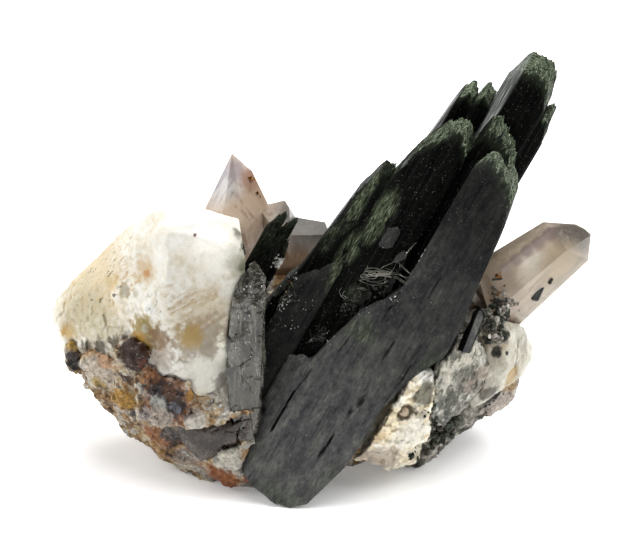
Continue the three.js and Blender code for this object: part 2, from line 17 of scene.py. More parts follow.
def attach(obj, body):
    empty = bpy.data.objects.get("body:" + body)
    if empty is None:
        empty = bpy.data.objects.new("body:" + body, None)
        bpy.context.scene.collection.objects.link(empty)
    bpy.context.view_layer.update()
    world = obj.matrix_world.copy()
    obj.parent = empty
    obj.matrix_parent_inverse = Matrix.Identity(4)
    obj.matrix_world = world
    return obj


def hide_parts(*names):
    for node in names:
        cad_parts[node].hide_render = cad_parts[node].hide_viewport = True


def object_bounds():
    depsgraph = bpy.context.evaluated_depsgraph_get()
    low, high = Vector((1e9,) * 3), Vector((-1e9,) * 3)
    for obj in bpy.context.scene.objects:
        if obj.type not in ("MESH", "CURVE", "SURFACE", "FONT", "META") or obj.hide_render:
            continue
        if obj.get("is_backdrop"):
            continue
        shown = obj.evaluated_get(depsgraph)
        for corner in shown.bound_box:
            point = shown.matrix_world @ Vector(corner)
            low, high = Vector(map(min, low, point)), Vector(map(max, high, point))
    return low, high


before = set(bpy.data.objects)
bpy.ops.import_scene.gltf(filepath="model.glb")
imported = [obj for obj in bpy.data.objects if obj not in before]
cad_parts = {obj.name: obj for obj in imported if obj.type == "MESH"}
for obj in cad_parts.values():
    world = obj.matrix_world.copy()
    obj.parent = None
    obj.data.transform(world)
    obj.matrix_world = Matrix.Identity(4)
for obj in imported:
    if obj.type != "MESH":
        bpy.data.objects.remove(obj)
CAD_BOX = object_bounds()
print("minerals:", ", ".join(sorted(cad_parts)))

# %% [markdown]
# ## Units and the two working frames
# Blender works in metres, and a crystal is easier to think of in millimetres, so shapes are made
# in millimetres and scaled once, at the end. The blades all lean the same way. They are shaped in
# a frame of their own: `S` runs across the broad face, `N` out of it and `D` along the blades.

# %% The blades' frame
MM = 0.001
LOW_CORNER = Vector(CAD_BOX[0]) / MM
HIGH_CORNER = Vector(CAD_BOX[1]) / MM
BLADE_ORIGIN = Vector((0.15, 0.4, 26.0))
D = Vector((0.489, 0.17, 0.856)).normalized()
ACROSS = Vector((0.866, -0.2113, -0.453))
S = (ACROSS - D * ACROSS.dot(D)).normalized()
N = S.cross(D)


def from_blades(s, n, t):
    """A place given in the blades' own frame, brought into the model's."""
    return BLADE_ORIGIN + S * s + N * n + D * t


print("the blades lean", round(math.degrees(D.angle(Vector((0, 0, 1))))), "degrees")

# %% [markdown]
# ## Camera, floor and light
# A long lens flattens the view a little, as for any small thing that is seen close. The floor is
# seamless pale paper with a faint glow of its own, under a dim even sky. Three softboxes leave
# only a soft shadow under the stone. Faces mirror the left one alone, which keeps the blacks deep.

# %% Camera
VIEW_TARGET = BLADE_ORIGIN
VIEW_DISTANCE = 300.0
VIEW_ELEVATION = math.radians(25)
SENSOR_WIDTH = 36.0
SEEN_WIDTH = 84.0
NEAREST_SEEN = 0.01

camera_data = bpy.data.cameras.new("camera")
camera_data.sensor_width = SENSOR_WIDTH
camera_data.lens = SENSOR_WIDTH * VIEW_DISTANCE / SEEN_WIDTH
camera_data.clip_start = NEAREST_SEEN
camera = bpy.data.objects.new("camera", camera_data)
bpy.context.collection.objects.link(camera)
towards_camera = Vector((0, -math.cos(VIEW_ELEVATION), math.sin(VIEW_ELEVATION)))
camera.location = (VIEW_TARGET + towards_camera * VIEW_DISTANCE) * MM
camera.rotation_euler = towards_camera.to_track_quat("Z", "Y").to_euler()
bpy.context.scene.camera = camera
print("camera at", [round(c, 3) for c in camera.location])

# %% [markdown]
# ### Nodes from a script
# A material is a tree of nodes. It could be joined up by hand in the shader editor, but a script
# gives the same tree each time. Two helpers keep that short: one feeds a socket with a value or
# with what another node puts out, and one adds a node and feeds all its sockets.


# %% Node helpers
def new_material(name):
    """An empty node material, and its node tree."""
    material = bpy.data.materials.new(name)
    material.use_nodes = True
    material.node_tree.nodes.clear()
    return material, material.node_tree


def feed(socket, value):
    """Links a value that comes out of a node, and sets any other."""
    if isinstance(value, bpy.types.NodeSocket):
        socket.id_data.links.new(value, socket)
    elif socket.type == "RGBA":
        socket.default_value = (*value, 1)
    else:
        socket.default_value = value


def node_in(tree, kind, *values, **named):
    """Adds a node. Its inputs are fed in order and by name, and other names are its settings."""
    node = tree.nodes.new(kind)
    for name, value in named.items():
        label = name.replace("_", " ")
        if label in node.inputs:
            feed(node.inputs[label], value)
        else:
            setattr(node, name, value)
    for socket, value in zip(node.inputs, values):
        feed(socket, value)
    return node


print("node helpers: new_material, feed and node_in")

# %% Floor
FLOOR_SIZE = 6.0
FLOOR_DROP = 0.02
PAPER_WHITE = (0.92, 0.92, 0.92)
PAPER_GLOW = 0.20

sheet = bmesh.new()
bmesh.ops.create_grid(sheet, x_segments=1, y_segments=1, size=FLOOR_SIZE / 2)
bmesh.ops.translate(sheet, verts=sheet.verts, vec=(0, 0, -FLOOR_DROP * MM))
floor_mesh = bpy.data.meshes.new("floor")
sheet.to_mesh(floor_mesh)
sheet.free()
floor = bpy.data.objects.new("floor", floor_mesh)
bpy.context.collection.objects.link(floor)
floor_paper, tree = new_material("floor_paper")
paper = node_in(tree, "ShaderNodeBsdfDiffuse", Color=PAPER_WHITE)
glow = node_in(tree, "ShaderNodeEmission", Strength=PAPER_GLOW)
glowing_paper = node_in(tree, "ShaderNodeAddShader", paper.outputs[0], glow.outputs[0])
node_in(tree, "ShaderNodeOutputMaterial", Surface=glowing_paper.outputs[0])
floor_mesh.materials.append(floor_paper)
floor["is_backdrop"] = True
print("floor:", FLOOR_SIZE, "m wide")

# %% Sky and softboxes
SKY_STRENGTH = 1.0
SOFTBOXES = [
    # name, place in metres, size in metres, power in watts, whether faces mirror it
    ("overhead", (0.10, 0.12, 0.62), 0.80, 7.0, False),
    ("left", (-0.60, 0.05, 0.42), 0.60, 4.2, True),
    ("right", (0.60, 0.10, 0.42), 0.60, 4.2, False),
]

world = bpy.data.worlds.new("sky")
world.use_nodes = True
world.node_tree.nodes["Background"].inputs["Strength"].default_value = SKY_STRENGTH
bpy.context.scene.world = world
bpy.context.scene.view_settings.view_transform = "Standard"

for name, place, size, power, mirrored in SOFTBOXES:
    light = bpy.data.lights.new(name, "AREA")
    light.shape = "DISK"
    light.size = size
    light.energy = power
    lamp = bpy.data.objects.new(name, light)
    lamp.location = place
    lamp.visible_glossy = mirrored
    lamp.rotation_euler = (Vector(place) - VIEW_TARGET * MM).to_track_quat("Z", "Y").to_euler()
    bpy.context.collection.objects.link(lamp)
print("lights:", [name for name, *rest in SOFTBOXES])

# %% [markdown]
# ## Shaping helpers
# A rough mineral surface is a plain shape plus relief. Blender's noise functions give that
# relief, and a seed of their own makes them give the same on each run, so the specimen never
# changes. A finished piece is scaled to metres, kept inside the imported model's box, shaded smooth
# between its sharp edges, and tied to the model.

# %% Helpers for numbers
NOISE_SEED = 11
noise.seed_set(NOISE_SEED)


def wave(x, y, z=0.0):
    """Smooth noise at a place given by its three parts."""
    return noise.noise(Vector((x, y, z)))


def smooth_step(x):
    """0 below 0, 1 above 1, and a soft ramp between."""
    x = min(max(x, 0.0), 1.0)
    return x * x * (3 - 2 * x)


def between(columns, s):
    """The values of an outline at s, straight between its columns."""
    for low, high in zip(columns, columns[1:]):
        if s <= high[0]:
            share = min(max((s - low[0]) / (high[0] - low[0]), 0.0), 1.0)
            return [a + (b - a) * share for a, b in zip(low[1:], high[1:])]
    return list(columns[-1][1:])


print("relief noise has the seed", NOISE_SEED)

# %% From a shape to a piece
SKINS = {}


def finished(name, bm, material, nodes, crease=35):
    """Makes a shape in millimetres a finished piece that stands for CAD nodes."""
    SKINS[name] = BVHTree.FromBMesh(bm)
    bmesh.ops.recalc_face_normals(bm, faces=bm.faces)
    for v in bm.verts:
        v.co = [min(max(c, low), high) * MM for c, low, high in zip(v.co, LOW_CORNER, HIGH_CORNER)]
    mesh = bpy.data.meshes.new(name)
    bm.to_mesh(mesh)
    bm.free()
    mesh.shade_smooth()
    mesh.set_sharp_from_angle(angle=math.radians(crease))
    mesh.materials.append(material)
    piece = bpy.data.objects.new(name, mesh)
    bpy.context.collection.objects.link(piece)
    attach(piece, "root")
    if nodes:
        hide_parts(*nodes)
    print(f"{name}: {sum(len(p.vertices) - 2 for p in mesh.polygons)} triangles")


print("pieces stay between", LOW_CORNER, "and", HIGH_CORNER)

# %% [markdown]
# ## Aegirine blades
# A blade is a long bar with fine grooves down its faces, a frayed and etched tip and a broken
# foot. A cube, cut into a fine grid, is bent onto an outline: columns across the face give the
# height of the foot, the height of the tip and the depth of the front. Narrow facets, each with a
# tilt of its own, make the face flash in streaks, and the tip's fibres end at different heights.
# A blade could be sculpted too, but an outline in numbers is easier to correct.

# %% Blade helpers
BLADE_CELL = (0.2, 0.34, 0.5)
REEDS = [
    # width, tilt
    (1.45, 0.10),
    (0.55, 0.20),
]


def reed_height(s, t, seed):
    """Height across a grooved face: long narrow facets, each tilted its own way."""
    height = 0.0
    for width, tilt in REEDS:
        place = s / width + 0.3 * wave(t / 16, seed, width)
        cell = math.floor(place)
        lean = wave(cell * 1.7 + seed, 3.1, width * 5) * 2
        height += width * tilt * lean * (place - cell - 0.5)
    return height


def gridded_cube(size, cell):
    """A unit cube whose faces are cut into cells of about the given size."""
    bm = bmesh.new()
    bmesh.ops.create_cube(bm, size=1.0)
    bmesh.ops.translate(bm, verts=bm.verts, vec=(0.5, 0.5, 0.5))
    for axis in range(3):
        rings = [e for e in bm.edges if abs((e.verts[0].co - e.verts[1].co)[axis]) > 0.5]
        cuts = max(1, round(size[axis] / cell[axis]) - 1)
        bmesh.ops.subdivide_edges(bm, edges=rings, cuts=cuts, use_grid_fill=True)
    return bm


def patch_share(patches, s, t):
    """How strongly the nearest of some soft oval patches covers a place on a face."""
    share = 0.0
    for s_patch, t_patch, half_s, half_t, strength in patches:
        away = math.hypot((s - s_patch) / half_s, (t - t_patch) / half_t)
        share = max(share, strength * smooth_step(1.5 - away))
    return share


print("reeds:", REEDS)

# %% [markdown]
# ### One blade
# Every corner of the cut cube knows how far across, deep and high it lies. The outline turns that
# into a place on the blade. The tip is then frayed, pinched and roughened, the faces get their
# reeds, and the edges are worn down. Each corner also keeps values that the material reads later:
# its place along the blade, how etched, dull or mossy the mineral is there, and how much painted
# reflection it carries: pale streaks on a left edge or flank that stand in for mirrored light.

# %% Tips and edges
SLOPE_REACH = 0.3
EDGE_WEAR = 0.28


def tip_slope(columns, s):
    """How steeply the outline's tip rises or falls at s."""
    after, before = [between(columns, s + step)[1] for step in (SLOPE_REACH, -SLOPE_REACH)]
    return abs(after - before) / (2 * SLOPE_REACH)


def frayed(s, n, t, side, facing, tip_share, fray, pinch, seed):
    """A place on a tip that is drawn in and whose fibres end at different heights."""
    fibre = wave(s * 3.1 + seed, n * 3.1, t * 0.2)
    clump = wave(s * 0.9 + seed, n * 0.9, t * 0.1)
    t -= tip_share * fray * max(0.7 + 1.1 * clump + 0.9 * fibre, 0)
    drawn_in = pinch * tip_share ** 2
    return s - drawn_in * side ** 3, n - drawn_in * facing ** 3, t


def knobbly(s, n, t, seed):
    """Small knobs of an etched or mossy skin."""
    knobs = wave(s * 1.6, n * 1.6 + seed, t * 0.7)
    return knobs + 0.7 * wave(s * 4.1, n * 4.1 + seed, t * 2.3)


def edge_loss(s, left, right, wear):
    """How far a face drops where it nears its left or its right edge."""
    return max(EDGE_WEAR * wear[0] - (s - left), 0) + max(EDGE_WEAR * wear[1] - (right - s), 0)


print("edges wear down by", EDGE_WEAR, "mm")


# %% The blade maker
TIP_DENSITY = 1.3
FOOT_RISE = 0.05
ON_FACE = 0.999
STEEP_FROM = 1.6
STEEP_SPAN = 2.0
STEEP_LOSS = 0.85
RIM_FROM = 0.96
HANDLING_LOSS = 0.5
TIP_KNOBS = 0.2


def blade(columns, back, seed, fray=0.5, fray_zone=3.0, pinch=0.5, fall=0.22, reed=1.0,
          matte=None, carve=None, wear=(1.0, 1.0), painted_reflection=(0.0, 1.0, 0.0), moss=(), powder=1.0):
    """A blade or a run of blades, as a shape in millimetres."""
    left, right = columns[0][0], columns[-1][0]
    front = max(column[3] for column in columns)
    length = max(column[2] for column in columns) - min(column[1] for column in columns)
    bm = gridded_cube((right - left, front - back, length), BLADE_CELL)
    grain = bm.verts.layers.float_vector.new("grain")
    etched, dull, reflection_layer, mossy = [
        bm.verts.layers.float.new(name) for name in ("etched", "dull", "painted_reflection", "moss")]
    for v in bm.verts:
        across, depth, height = v.co
        s = left + (right - left) * across
        foot, tip, face = between(columns, s)
        n = back + (face - back) * depth
        top = tip - fall * (n - back)
        bottom = foot + FOOT_RISE * (n - back)
        t = bottom + (top - bottom) * (1 - (1 - height) ** TIP_DENSITY)
        side, facing = 2 * across - 1, 2 * depth - 1

        tip_share = smooth_step(1 - (top - t) / fray_zone)
        steep = smooth_step((tip_slope(columns, s) - STEEP_FROM) / STEEP_SPAN)
        at_rim = smooth_step((height - RIM_FROM) / 0.04)
        handled = 1 - HANDLING_LOSS * smooth_step(facing * 4 - 3) * (1 - at_rim)
        left_edge = smooth_step((left + painted_reflection[1] - s) / 0.3)
        v[grain] = (s, n, t)
        v[etched] = tip_share * powder * (1 - STEEP_LOSS * steep) * handled
        v[dull] = matte(t) if matte else 0.0
        # painted reflection: pale streaks on the left edge, and left of the tip, stand in for
        # mirrored light
        v[reflection_layer] = painted_reflection[0] * max(left_edge, painted_reflection[2] * tip_share * smooth_step(-side))
        v[mossy] = patch_share(moss, s, t) * smooth_step(facing)

        s, n, t = frayed(s, n, t, side, facing, tip_share, fray, pinch, seed)
        rough = TIP_KNOBS * (tip_share + 0.5 * v[mossy]) * knobbly(s, n, t, seed)
        if abs(facing) > ON_FACE:
            n += facing * (reed * reed_height(s, t, seed) + rough)
            n -= facing * edge_loss(s, left, right, wear)
            if carve and facing > 0:
                n += carve(s, t)
        if abs(side) > ON_FACE:
            s += side * (0.6 * reed * reed_height(n, t, seed + 9) + rough)
        v.co = from_blades(s, n, t)
    return bm


print("powder thins where a tip is steeper than", STEEP_FROM)

# %% [markdown]
# ### Sums and colours in a shader
# A look is worked out from numbers that change over the surface. Small helpers add the maths,
# noise, ramp and mix nodes, so that a material reads like a short sum. Each helper finds the node
# tree through the sockets that it is given.


# %% Sums in a shader
def tree_of(*values):
    """The node tree that the first linked value comes from."""
    return next(v.id_data for v in values if isinstance(v, bpy.types.NodeSocket))


def number_of(operation, *values):
    """A number worked out from others."""
    return node_in(tree_of(*values), "ShaderNodeMath", *values, operation=operation).outputs[0]


def plus(a, b):
    """The sum of two numbers."""
    return number_of("ADD", a, b)


def minus(a, b):
    """The first number less the second."""
    return number_of("SUBTRACT", a, b)


def times(a, b):
    """The product of two numbers."""
    return number_of("MULTIPLY", a, b)


def vector_of(operation, *values):
    """A vector, or its length, worked out from others."""
    node = node_in(tree_of(*values), "ShaderNodeVectorMath", *values, operation=operation)
    return node.outputs["Value" if operation == "LENGTH" else "Vector"]


def ranged(value, low, high, bottom=0.0, top=1.0, **settings):
    """A value brought from low and high to bottom and top, and held between them."""
    return node_in(tree_of(value), "ShaderNodeMapRange", value, low, high, bottom, top,
                   **settings).outputs[0]


print("sums in a shader: plus, minus, times and the rest")


# %% Colours and relief in a shader
def noise_of(vector, scale, detail=3.0, roughness=0.55):
    """Fractal noise over a place."""
    return node_in(tree_of(vector), "ShaderNodeTexNoise", Vector=vector, Scale=scale,
                   Detail=detail, Roughness=roughness).outputs["Fac"]


def ramp_of(factor, *stops):
    """A colour ramp with the given (place, colour) stops."""
    ramp = node_in(tree_of(factor), "ShaderNodeValToRGB", factor)
    while len(ramp.color_ramp.elements) < len(stops):
        ramp.color_ramp.elements.new(0.5)
    for element, (place, colour) in zip(ramp.color_ramp.elements, stops):
        element.position = place
        element.color = (*colour, 1)
    return ramp.outputs["Color"]


def mixed(factor, a, b):
    """Colour a, or colour b where the factor is 1."""
    node = node_in(tree_of(factor, a), "ShaderNodeMix", data_type="RGBA")
    sockets = {socket.identifier: socket for socket in node.inputs}
    for identifier, value in (("Factor_Float", factor), ("A_Color", a), ("B_Color", b)):
        feed(sockets[identifier], value)
    return next(socket for socket in node.outputs if socket.identifier == "Result_Color")


def bump_of(height, strength, distance):
    """Fine relief in the light alone."""
    return node_in(tree_of(height), "ShaderNodeBump", Height=height, Strength=strength,
                   Distance=distance).outputs[0]


def surface_in(tree, colour, roughness, depth=None, **more):
    """A material's Principled surface, and the colour and density that its depth absorbs."""
    surface = node_in(tree, "ShaderNodeBsdfPrincipled", Base_Color=colour, Roughness=roughness,
                      **more)
    output = node_in(tree, "ShaderNodeOutputMaterial", Surface=surface.outputs[0])
    if depth:
        absorbed, density = depth
        volume = node_in(tree, "ShaderNodeVolumeAbsorption", Color=absorbed, Density=density)
        feed(output.inputs["Volume"], volume.outputs[0])


print("colours in a shader: ramp_of and mixed")

# %% [markdown]
# ### The finish of aegirine
# Fresh faces are black glass with a hint of green. The broad front face is dull slate from
# handling, moss-green felt lies in the lee of the blades, and the etched tips carry a pale green
# powder. One material reads the values that the maker left, and lays each look over the last,
# so all the blades match however they lie.

# %% Aegirine colours
AEGIRINE_IOR = 1.75
AEGIRINE_SPECULAR = 0.014
AEGIRINE_BUMP = 0.0002
BLACK = ((0.35, (0.0006, 0.0008, 0.0006)), (0.7, (0.004, 0.0048, 0.0037)))
BLACK_VEINS = (0.010, 0.011, 0.0095)
# painted glints: pale flecks on the black faces stand in for small glints of light
PAINTED_GLINTS = (0.27, 0.28, 0.26)
BLACK_ETCHED = (0.026, 0.033, 0.021)
SLATE = ((0.36, (0.035, 0.035, 0.035)), (0.46, (0.073, 0.0725, 0.076)),
         (0.52, (0.104, 0.106, 0.099)), (0.62, (0.17, 0.176, 0.153)))
SLATE_SPECKS = (0.24, 0.25, 0.21)
SLATE_LINES = (0.011, 0.0115, 0.011)
# painted reflection: pale shades that stand in for light mirrored by the blades' edges and flanks
PAINTED_REFLECTION_SHADES = ((0.0, (0.040, 0.042, 0.040)), (0.5, (0.10, 0.105, 0.10)), (1.0, (0.33, 0.34, 0.33)))
FELT = ((0.0, (0.008, 0.010, 0.007)), (0.45, (0.066, 0.082, 0.048)), (1.0, (0.33, 0.37, 0.25)))
MINT = ((0.40, (0.007, 0.010, 0.006)), (0.54, (0.030, 0.040, 0.023)),
        (0.65, (0.12, 0.15, 0.092)), (0.76, (0.50, 0.57, 0.42)))

print("aegirine:", len(SLATE), "shades of slate,", len(MINT), "of powder")


# %% Marks along a blade
def attribute_in(tree, name, output="Fac"):
    """A value that the maker left on each point."""
    return node_in(tree, "ShaderNodeAttribute", attribute_name=name).outputs[output]


def along_grain(grain, across, along, detail, roughness=0.55):
    """Noise that is drawn out along a blade."""
    stretched = vector_of("MULTIPLY", grain, (across, across, along))
    return noise_of(stretched, 1.0, detail, roughness)


def scratches(grain, across, along, low, high):
    """A mask of short marks that run along a blade."""
    return ranged(along_grain(grain, across, along, 3.0, 0.6), low, high)


print("marks are noise that is drawn out along a blade")


# %% Aegirine material
def aegirine_material():
    """Black glass, then slate, painted reflection, felt and powder where the blade's values ask for
    them.
    """
    material, tree = new_material("aegirine_black")
    grain = attribute_in(tree, "grain", "Vector")
    etched, dull, painted_reflection, moss = [
        attribute_in(tree, name) for name in ("etched", "dull", "painted_reflection", "moss")]
    hairs = along_grain(grain, 14.0, 1.1, 2.0)
    clouds = along_grain(grain, 0.7, 0.3, 5.0, 0.65)
    speckle = noise_of(grain, 3.4, 6.0, 0.75)
    mottle = along_grain(grain, 1.9, 1.0, 5.0, 0.7)

    black = ramp_of(clouds, *BLACK)
    black = mixed(times(scratches(grain, 2.4, 0.12, 0.54, 0.70), 0.8), black, BLACK_VEINS)
    # painted glints: short pale flecks on the black
    black = mixed(times(scratches(grain, 9.0, 3.8, 0.665, 0.71), 0.75), black, PAINTED_GLINTS)
    black = mixed(times(etched, 0.9), black, BLACK_ETCHED)

    tone = plus(plus(times(clouds, 0.45), times(mottle, 0.35)), times(speckle, 0.20))
    slate = ramp_of(tone, *SLATE)
    slate = mixed(times(scratches(grain, 3.6, 2.4, 0.69, 0.74), 0.5), slate, SLATE_SPECKS)
    slate = mixed(times(scratches(grain, 3.0, 0.16, 0.55, 0.72), 0.5), slate, SLATE_LINES)

    colour = mixed(dull, black, slate)
    # painted reflection, laid where the blade asks for it
    colour = mixed(painted_reflection, colour, ramp_of(scratches(grain, 5.0, 0.25, 0.35, 0.65), *PAINTED_REFLECTION_SHADES))
    felt = ramp_of(scratches(grain, 7.0, 1.0, 0.36, 0.74), *FELT)
    colour = mixed(times(moss, scratches(grain, 0.9, 0.5, 0.34, 0.50)), colour, felt)
    powder = times(ranged(plus(times(etched, 0.24), mottle), 0.66, 0.86),
                   number_of("GREATER_THAN", etched, 0.02))
    colour = mixed(powder, colour, ramp_of(plus(hairs, times(etched, 0.12)), *MINT))

    gloss = number_of("MULTIPLY_ADD", hairs, 0.3, 0.12)
    matte = number_of("MAXIMUM", times(dull, 0.55), times(number_of("MAXIMUM", powder, moss), 0.75))
    relief = bump_of(plus(times(hairs, 0.6), speckle), 0.6, AEGIRINE_BUMP)
    surface_in(tree, colour, number_of("MAXIMUM", gloss, matte), Normal=relief, IOR=AEGIRINE_IOR,
               Specular_IOR_Level=AEGIRINE_SPECULAR)
    return material


AEGIRINE = aegirine_material()
print("aegirine:", len(AEGIRINE.node_tree.nodes), "nodes")

# %% [markdown]
# ### The blades of the bundle
# The outlines are columns of (place across, foot, tip, front), all in the blades' frame. The two
# front slabs carry the broad dull face, with its cracks and pits. Behind them stand the glossy
# blades, and the tallest blade leans out at the back.

# %% Outlines of the bundle
PLATE_LEFT = [
    (1.3, -22.8, -8.6, 5.4), (2.8, -24.6, -7.6, 6.8), (4.2, -26.2, -7.0, 8.0),
    (4.5, -26.4, -5.4, 8.0), (6.2, -27.1, 0.8, 8.0), (6.5, -27.1, 2.0, 7.95),
    (9.3, -27.5, 6.2, 7.95), (9.9, -27.5, 7.8, 7.95),
]
PLATE_RIGHT = [
    (9.7, -27.4, 27.0, 7.9), (10.6, -27.2, 27.8, 7.95), (11.4, -27.0, 28.1, 7.95),
    (13.1, -25.4, 27.3, 8.0), (15.0, -18.2, 25.7, 8.0), (15.3, -9.0, 25.3, 7.9),
    (16.2, -4.8, 24.2, 7.75), (17.2, -2.4, 19.6, 7.6), (18.0, -0.8, 13.0, 7.4),
    (18.9, 0.6, 7.4, 7.2),
]
GLOSSY = [
    (1.2, -14, 19.6, 4.2), (2.0, -14, 22.2, 4.8), (3.4, -14, 25.4, 5.2), (4.4, -14, 27.1, 5.5),
    (5.5, -14, 28.4, 5.7), (6.7, -14, 28.5, 5.8), (7.6, -14, 27.4, 5.9), (8.5, -14, 26.0, 5.8),
]
LEFT_RIDGE = [
    (-5.2, -13, -5.4, 1.8), (-4.1, -14, -0.8, 2.6), (-3.2, -14, 1.0, 2.7), (-2.9, -15, 3.0, 2.4),
    (-2.3, -15, 8.6, 2.7), (-1.6, -16, 14.2, 3.1), (-0.4, -17, 18.2, 3.6), (1.5, -18, 18.8, 3.9),
]
LEFT_STEP = [
    (-3.0, -16, 0.2, 3.8), (-0.7, -17, 2.8, 4.5), (0.4, -18, 4.6, 4.7), (1.8, -18, 6, 4.8),
]
MIDDLE_BLADES = [
    (7.9, -4, 27.2, 4.2), (8.8, -4, 30.8, 4.9), (10.0, -4, 31.0, 5.0), (11.3, -4, 30.0, 4.9),
    (12.8, -4, 29.2, 4.8), (14.4, -4, 27.6, 4.6),
]
TALL_BLADE = [
    (7.8, -12, 36.8, -3.9), (8.4, -12, 38.4, -2.7), (9.2, -12, 39.6, -1.5), (10.6, -12, 39.9, -1.3),
    (12.2, -12, 39.8, -1.1), (13.4, -12, 39.0, -1.1), (14.3, -12, 36.9, -1.3),
]
TALL_SIDE = [
    (14.0, -12, 34.9, -1.5), (15.0, -12, 35.2, -1.8), (15.6, 12, 34.6, -2),
    (16.1, 19, 32.6, -2.2),
]
REAR_BLADES = [
    (2.7, -10, 23.6, -3.8), (3.1, -10, 28.0, -3.4), (3.6, -10, 31.2, -3.0), (4.6, -10, 32.6, -2.95),
    (5.5, -10, 32.0, -3.1), (5.9, -10, 31.2, -3.2),
]
REAR_KNOB = [(5.7, -10, 32.2, -2.9), (6.5, -10, 33.2, -2.8), (7.9, -10, 32.4, -3.1)]
HEART = [(1.6, -15, 17, 1.2), (15, -15, 24, 1.2)]
FRONT_BLOCK = [(4.2, 9.0, 12.2, 6.5), (5.2, 9.0, 13.1, 6.5), (5.9, 9.6, 12.6, 6.45)]
FRONT_CHIP = [(6.9, 8.0, 10.0, 6.6), (7.5, 8.4, 11.0, 6.6), (8.1, 9.4, 10.6, 6.6)]
print("the front plate has", len(PLATE_LEFT) + len(PLATE_RIGHT), "columns")

# %% [markdown]
# ### The broad face
# The front slab is cracked along its length and pitted, and its skin has flaked. Bump in the
# material could only shade that, so this relief moves the mesh itself. Moss lies in soft ovals,
# given here for each run of blades, and the slab gets a little glossier towards its tips.

# %% Cracks, moss and pits
CRACKS = [
    # across and along at both ends, half width, depth
    (4.32, -18.9, 4.26, -12.4, 0.13, 1.2),
    (11.38, -19.6, 11.52, -15.0, 0.11, 0.9),
    (4.55, -12.0, 4.8, -8.8, 0.08, 0.3),
    (2.0, -23.0, 1.7, -18.4, 0.14, 0.8),
    (12.0, -3.6, 12.1, -0.6, 0.12, 0.5),
    (11.6, -12.6, 12.2, -6.2, 0.07, 0.25),
    (9.6, 1.0, 9.5, 6.0, 0.09, 0.35),
    (14.2, -14.0, 13.9, -8.0, 0.07, 0.18),
    (7.4, -20.0, 7.6, -17.5, 0.07, 0.2),
    (6.6, -6.0, 6.9, -2.5, 0.08, 0.3),
    (13.0, 6.0, 13.2, 10.5, 0.07, 0.3),
    (15.4, -6.0, 15.6, -1.0, 0.09, 0.35),
]
MOSS_RIDGE = [
    # across, along, half width, half length, strength
    (-0.6, 11.0, 0.8, 2.8, 0.95), (-0.4, 15.0, 0.6, 2.0, 0.9), (1.0, 5.3, 0.7, 3.0, 0.9),
    (1.5, 2.2, 0.6, 1.9, 0.7), (-1.6, 6.5, 0.6, 2.4, 0.4),
]
MOSS_GLOSSY = [(2.7, 12.2, 1.2, 3.4, 1.0), (1.9, 7.2, 0.7, 2.4, 0.7), (4.75, 1.9, 1.0, 1.0, 0.6)]
MOSS_PLATE = [
    (8.2, -1.2, 1.6, 1.6, 0.5), (7.0, -1.6, 1.4, 1.2, 0.4), (17.4, -1.0, 1.0, 3.0, 0.4),
    (9.2, -26.0, 3.2, 1.2, 0.35), (14.0, -21.0, 1.2, 2.5, 0.35),
]
PITS = [
    # across, along, half width, half length, depth
    (12.42, -9.5, 0.32, 0.75, 0.8),
    (11.95, -11.5, 0.26, 0.35, 0.5),
    (12.05, -2.1, 0.4, 0.3, 0.5),
    (2.0, -17.8, 0.4, 0.6, 0.7),
    (2.2, -14.0, 0.6, 0.9, 0.35),
]
print("cracks:", len(CRACKS), "pits:", len(PITS))


# %% Relief and dullness of the broad face
def plate_relief(s, t):
    """Depth of the cracks and pits, and the worn, splintery skin of the broad face."""
    depth = 0.16 * wave(s * 0.35, t * 0.12, 4.2)
    depth += 0.10 * wave(s * 0.9, t * 0.25, 1.7) + 0.07 * wave(s * 2.1, t * 0.7, 6.7)
    foot_share = smooth_step((-t - 20.0) / 5.0)
    depth += (0.06 + 0.2 * foot_share) * wave(s * 2.3, t * 2.3, 8.8)
    flake = wave(s * 0.5, t * 0.16, 12.5)
    depth -= 0.16 * smooth_step((flake - 0.12) * 9)
    for s_low, t_low, s_high, t_high, half, deep in CRACKS:
        share = (t - t_low) / (t_high - t_low)
        if 0 < share < 1:
            middle = s_low + (s_high - s_low) * share + 0.13 * wave(t * 0.9, half * 30)
            uneven = 0.75 + 0.8 * wave(t * 1.7, half * 40, 3)
            width = half * uneven * (4 * share * (1 - share)) ** 0.35 + 0.01
            depth -= deep * smooth_step(1.5 - abs(s - middle) / width)
    return depth - patch_share(PITS, s, t)


def plate_dullness(t):
    """The broad face is dull, and a little less so towards its tips."""
    return 1.0 - 0.55 * smooth_step((t + 18.0) / 24.0) - 0.28 * smooth_step((t - 6.0) / 14.0)


def step_dullness(_):
    """The low step beside the ridge is a little worn, the same all along."""
    return 0.2


print("the broad face is dull by", round(plate_dullness(0.0), 2), "at its middle")


# %% [markdown]
# ### From blades to pieces
# Blades that grew as one are joined to one piece. The specimen rests on its foot, so what hangs
# below the rest level is cut off there, and the cut is closed to keep every blade solid.


# %% Join and cut
def joined(*shapes):
    """Several shapes as one."""
    whole = shapes[0]
    for shape in shapes[1:]:
        part = bpy.data.meshes.new("part")
        shape.to_mesh(part)
        whole.from_mesh(part)
        bpy.data.meshes.remove(part)
        shape.free()
    return whole


def cut_at_rest(bm):
    """Cuts off what is below the rest level and closes the cut."""
    cut = bmesh.ops.bisect_plane(
        bm, geom=bm.verts[:] + bm.edges[:] + bm.faces[:], plane_co=(0, 0, 0),
        plane_no=(0, 0, 1), clear_inner=True)
    rim = [e for e in cut["geom_cut"] if isinstance(e, bmesh.types.BMEdge)]
    bmesh.ops.holes_fill(bm, edges=rim, sides=0)
    return bm


print("the bundle is cut level at its foot")

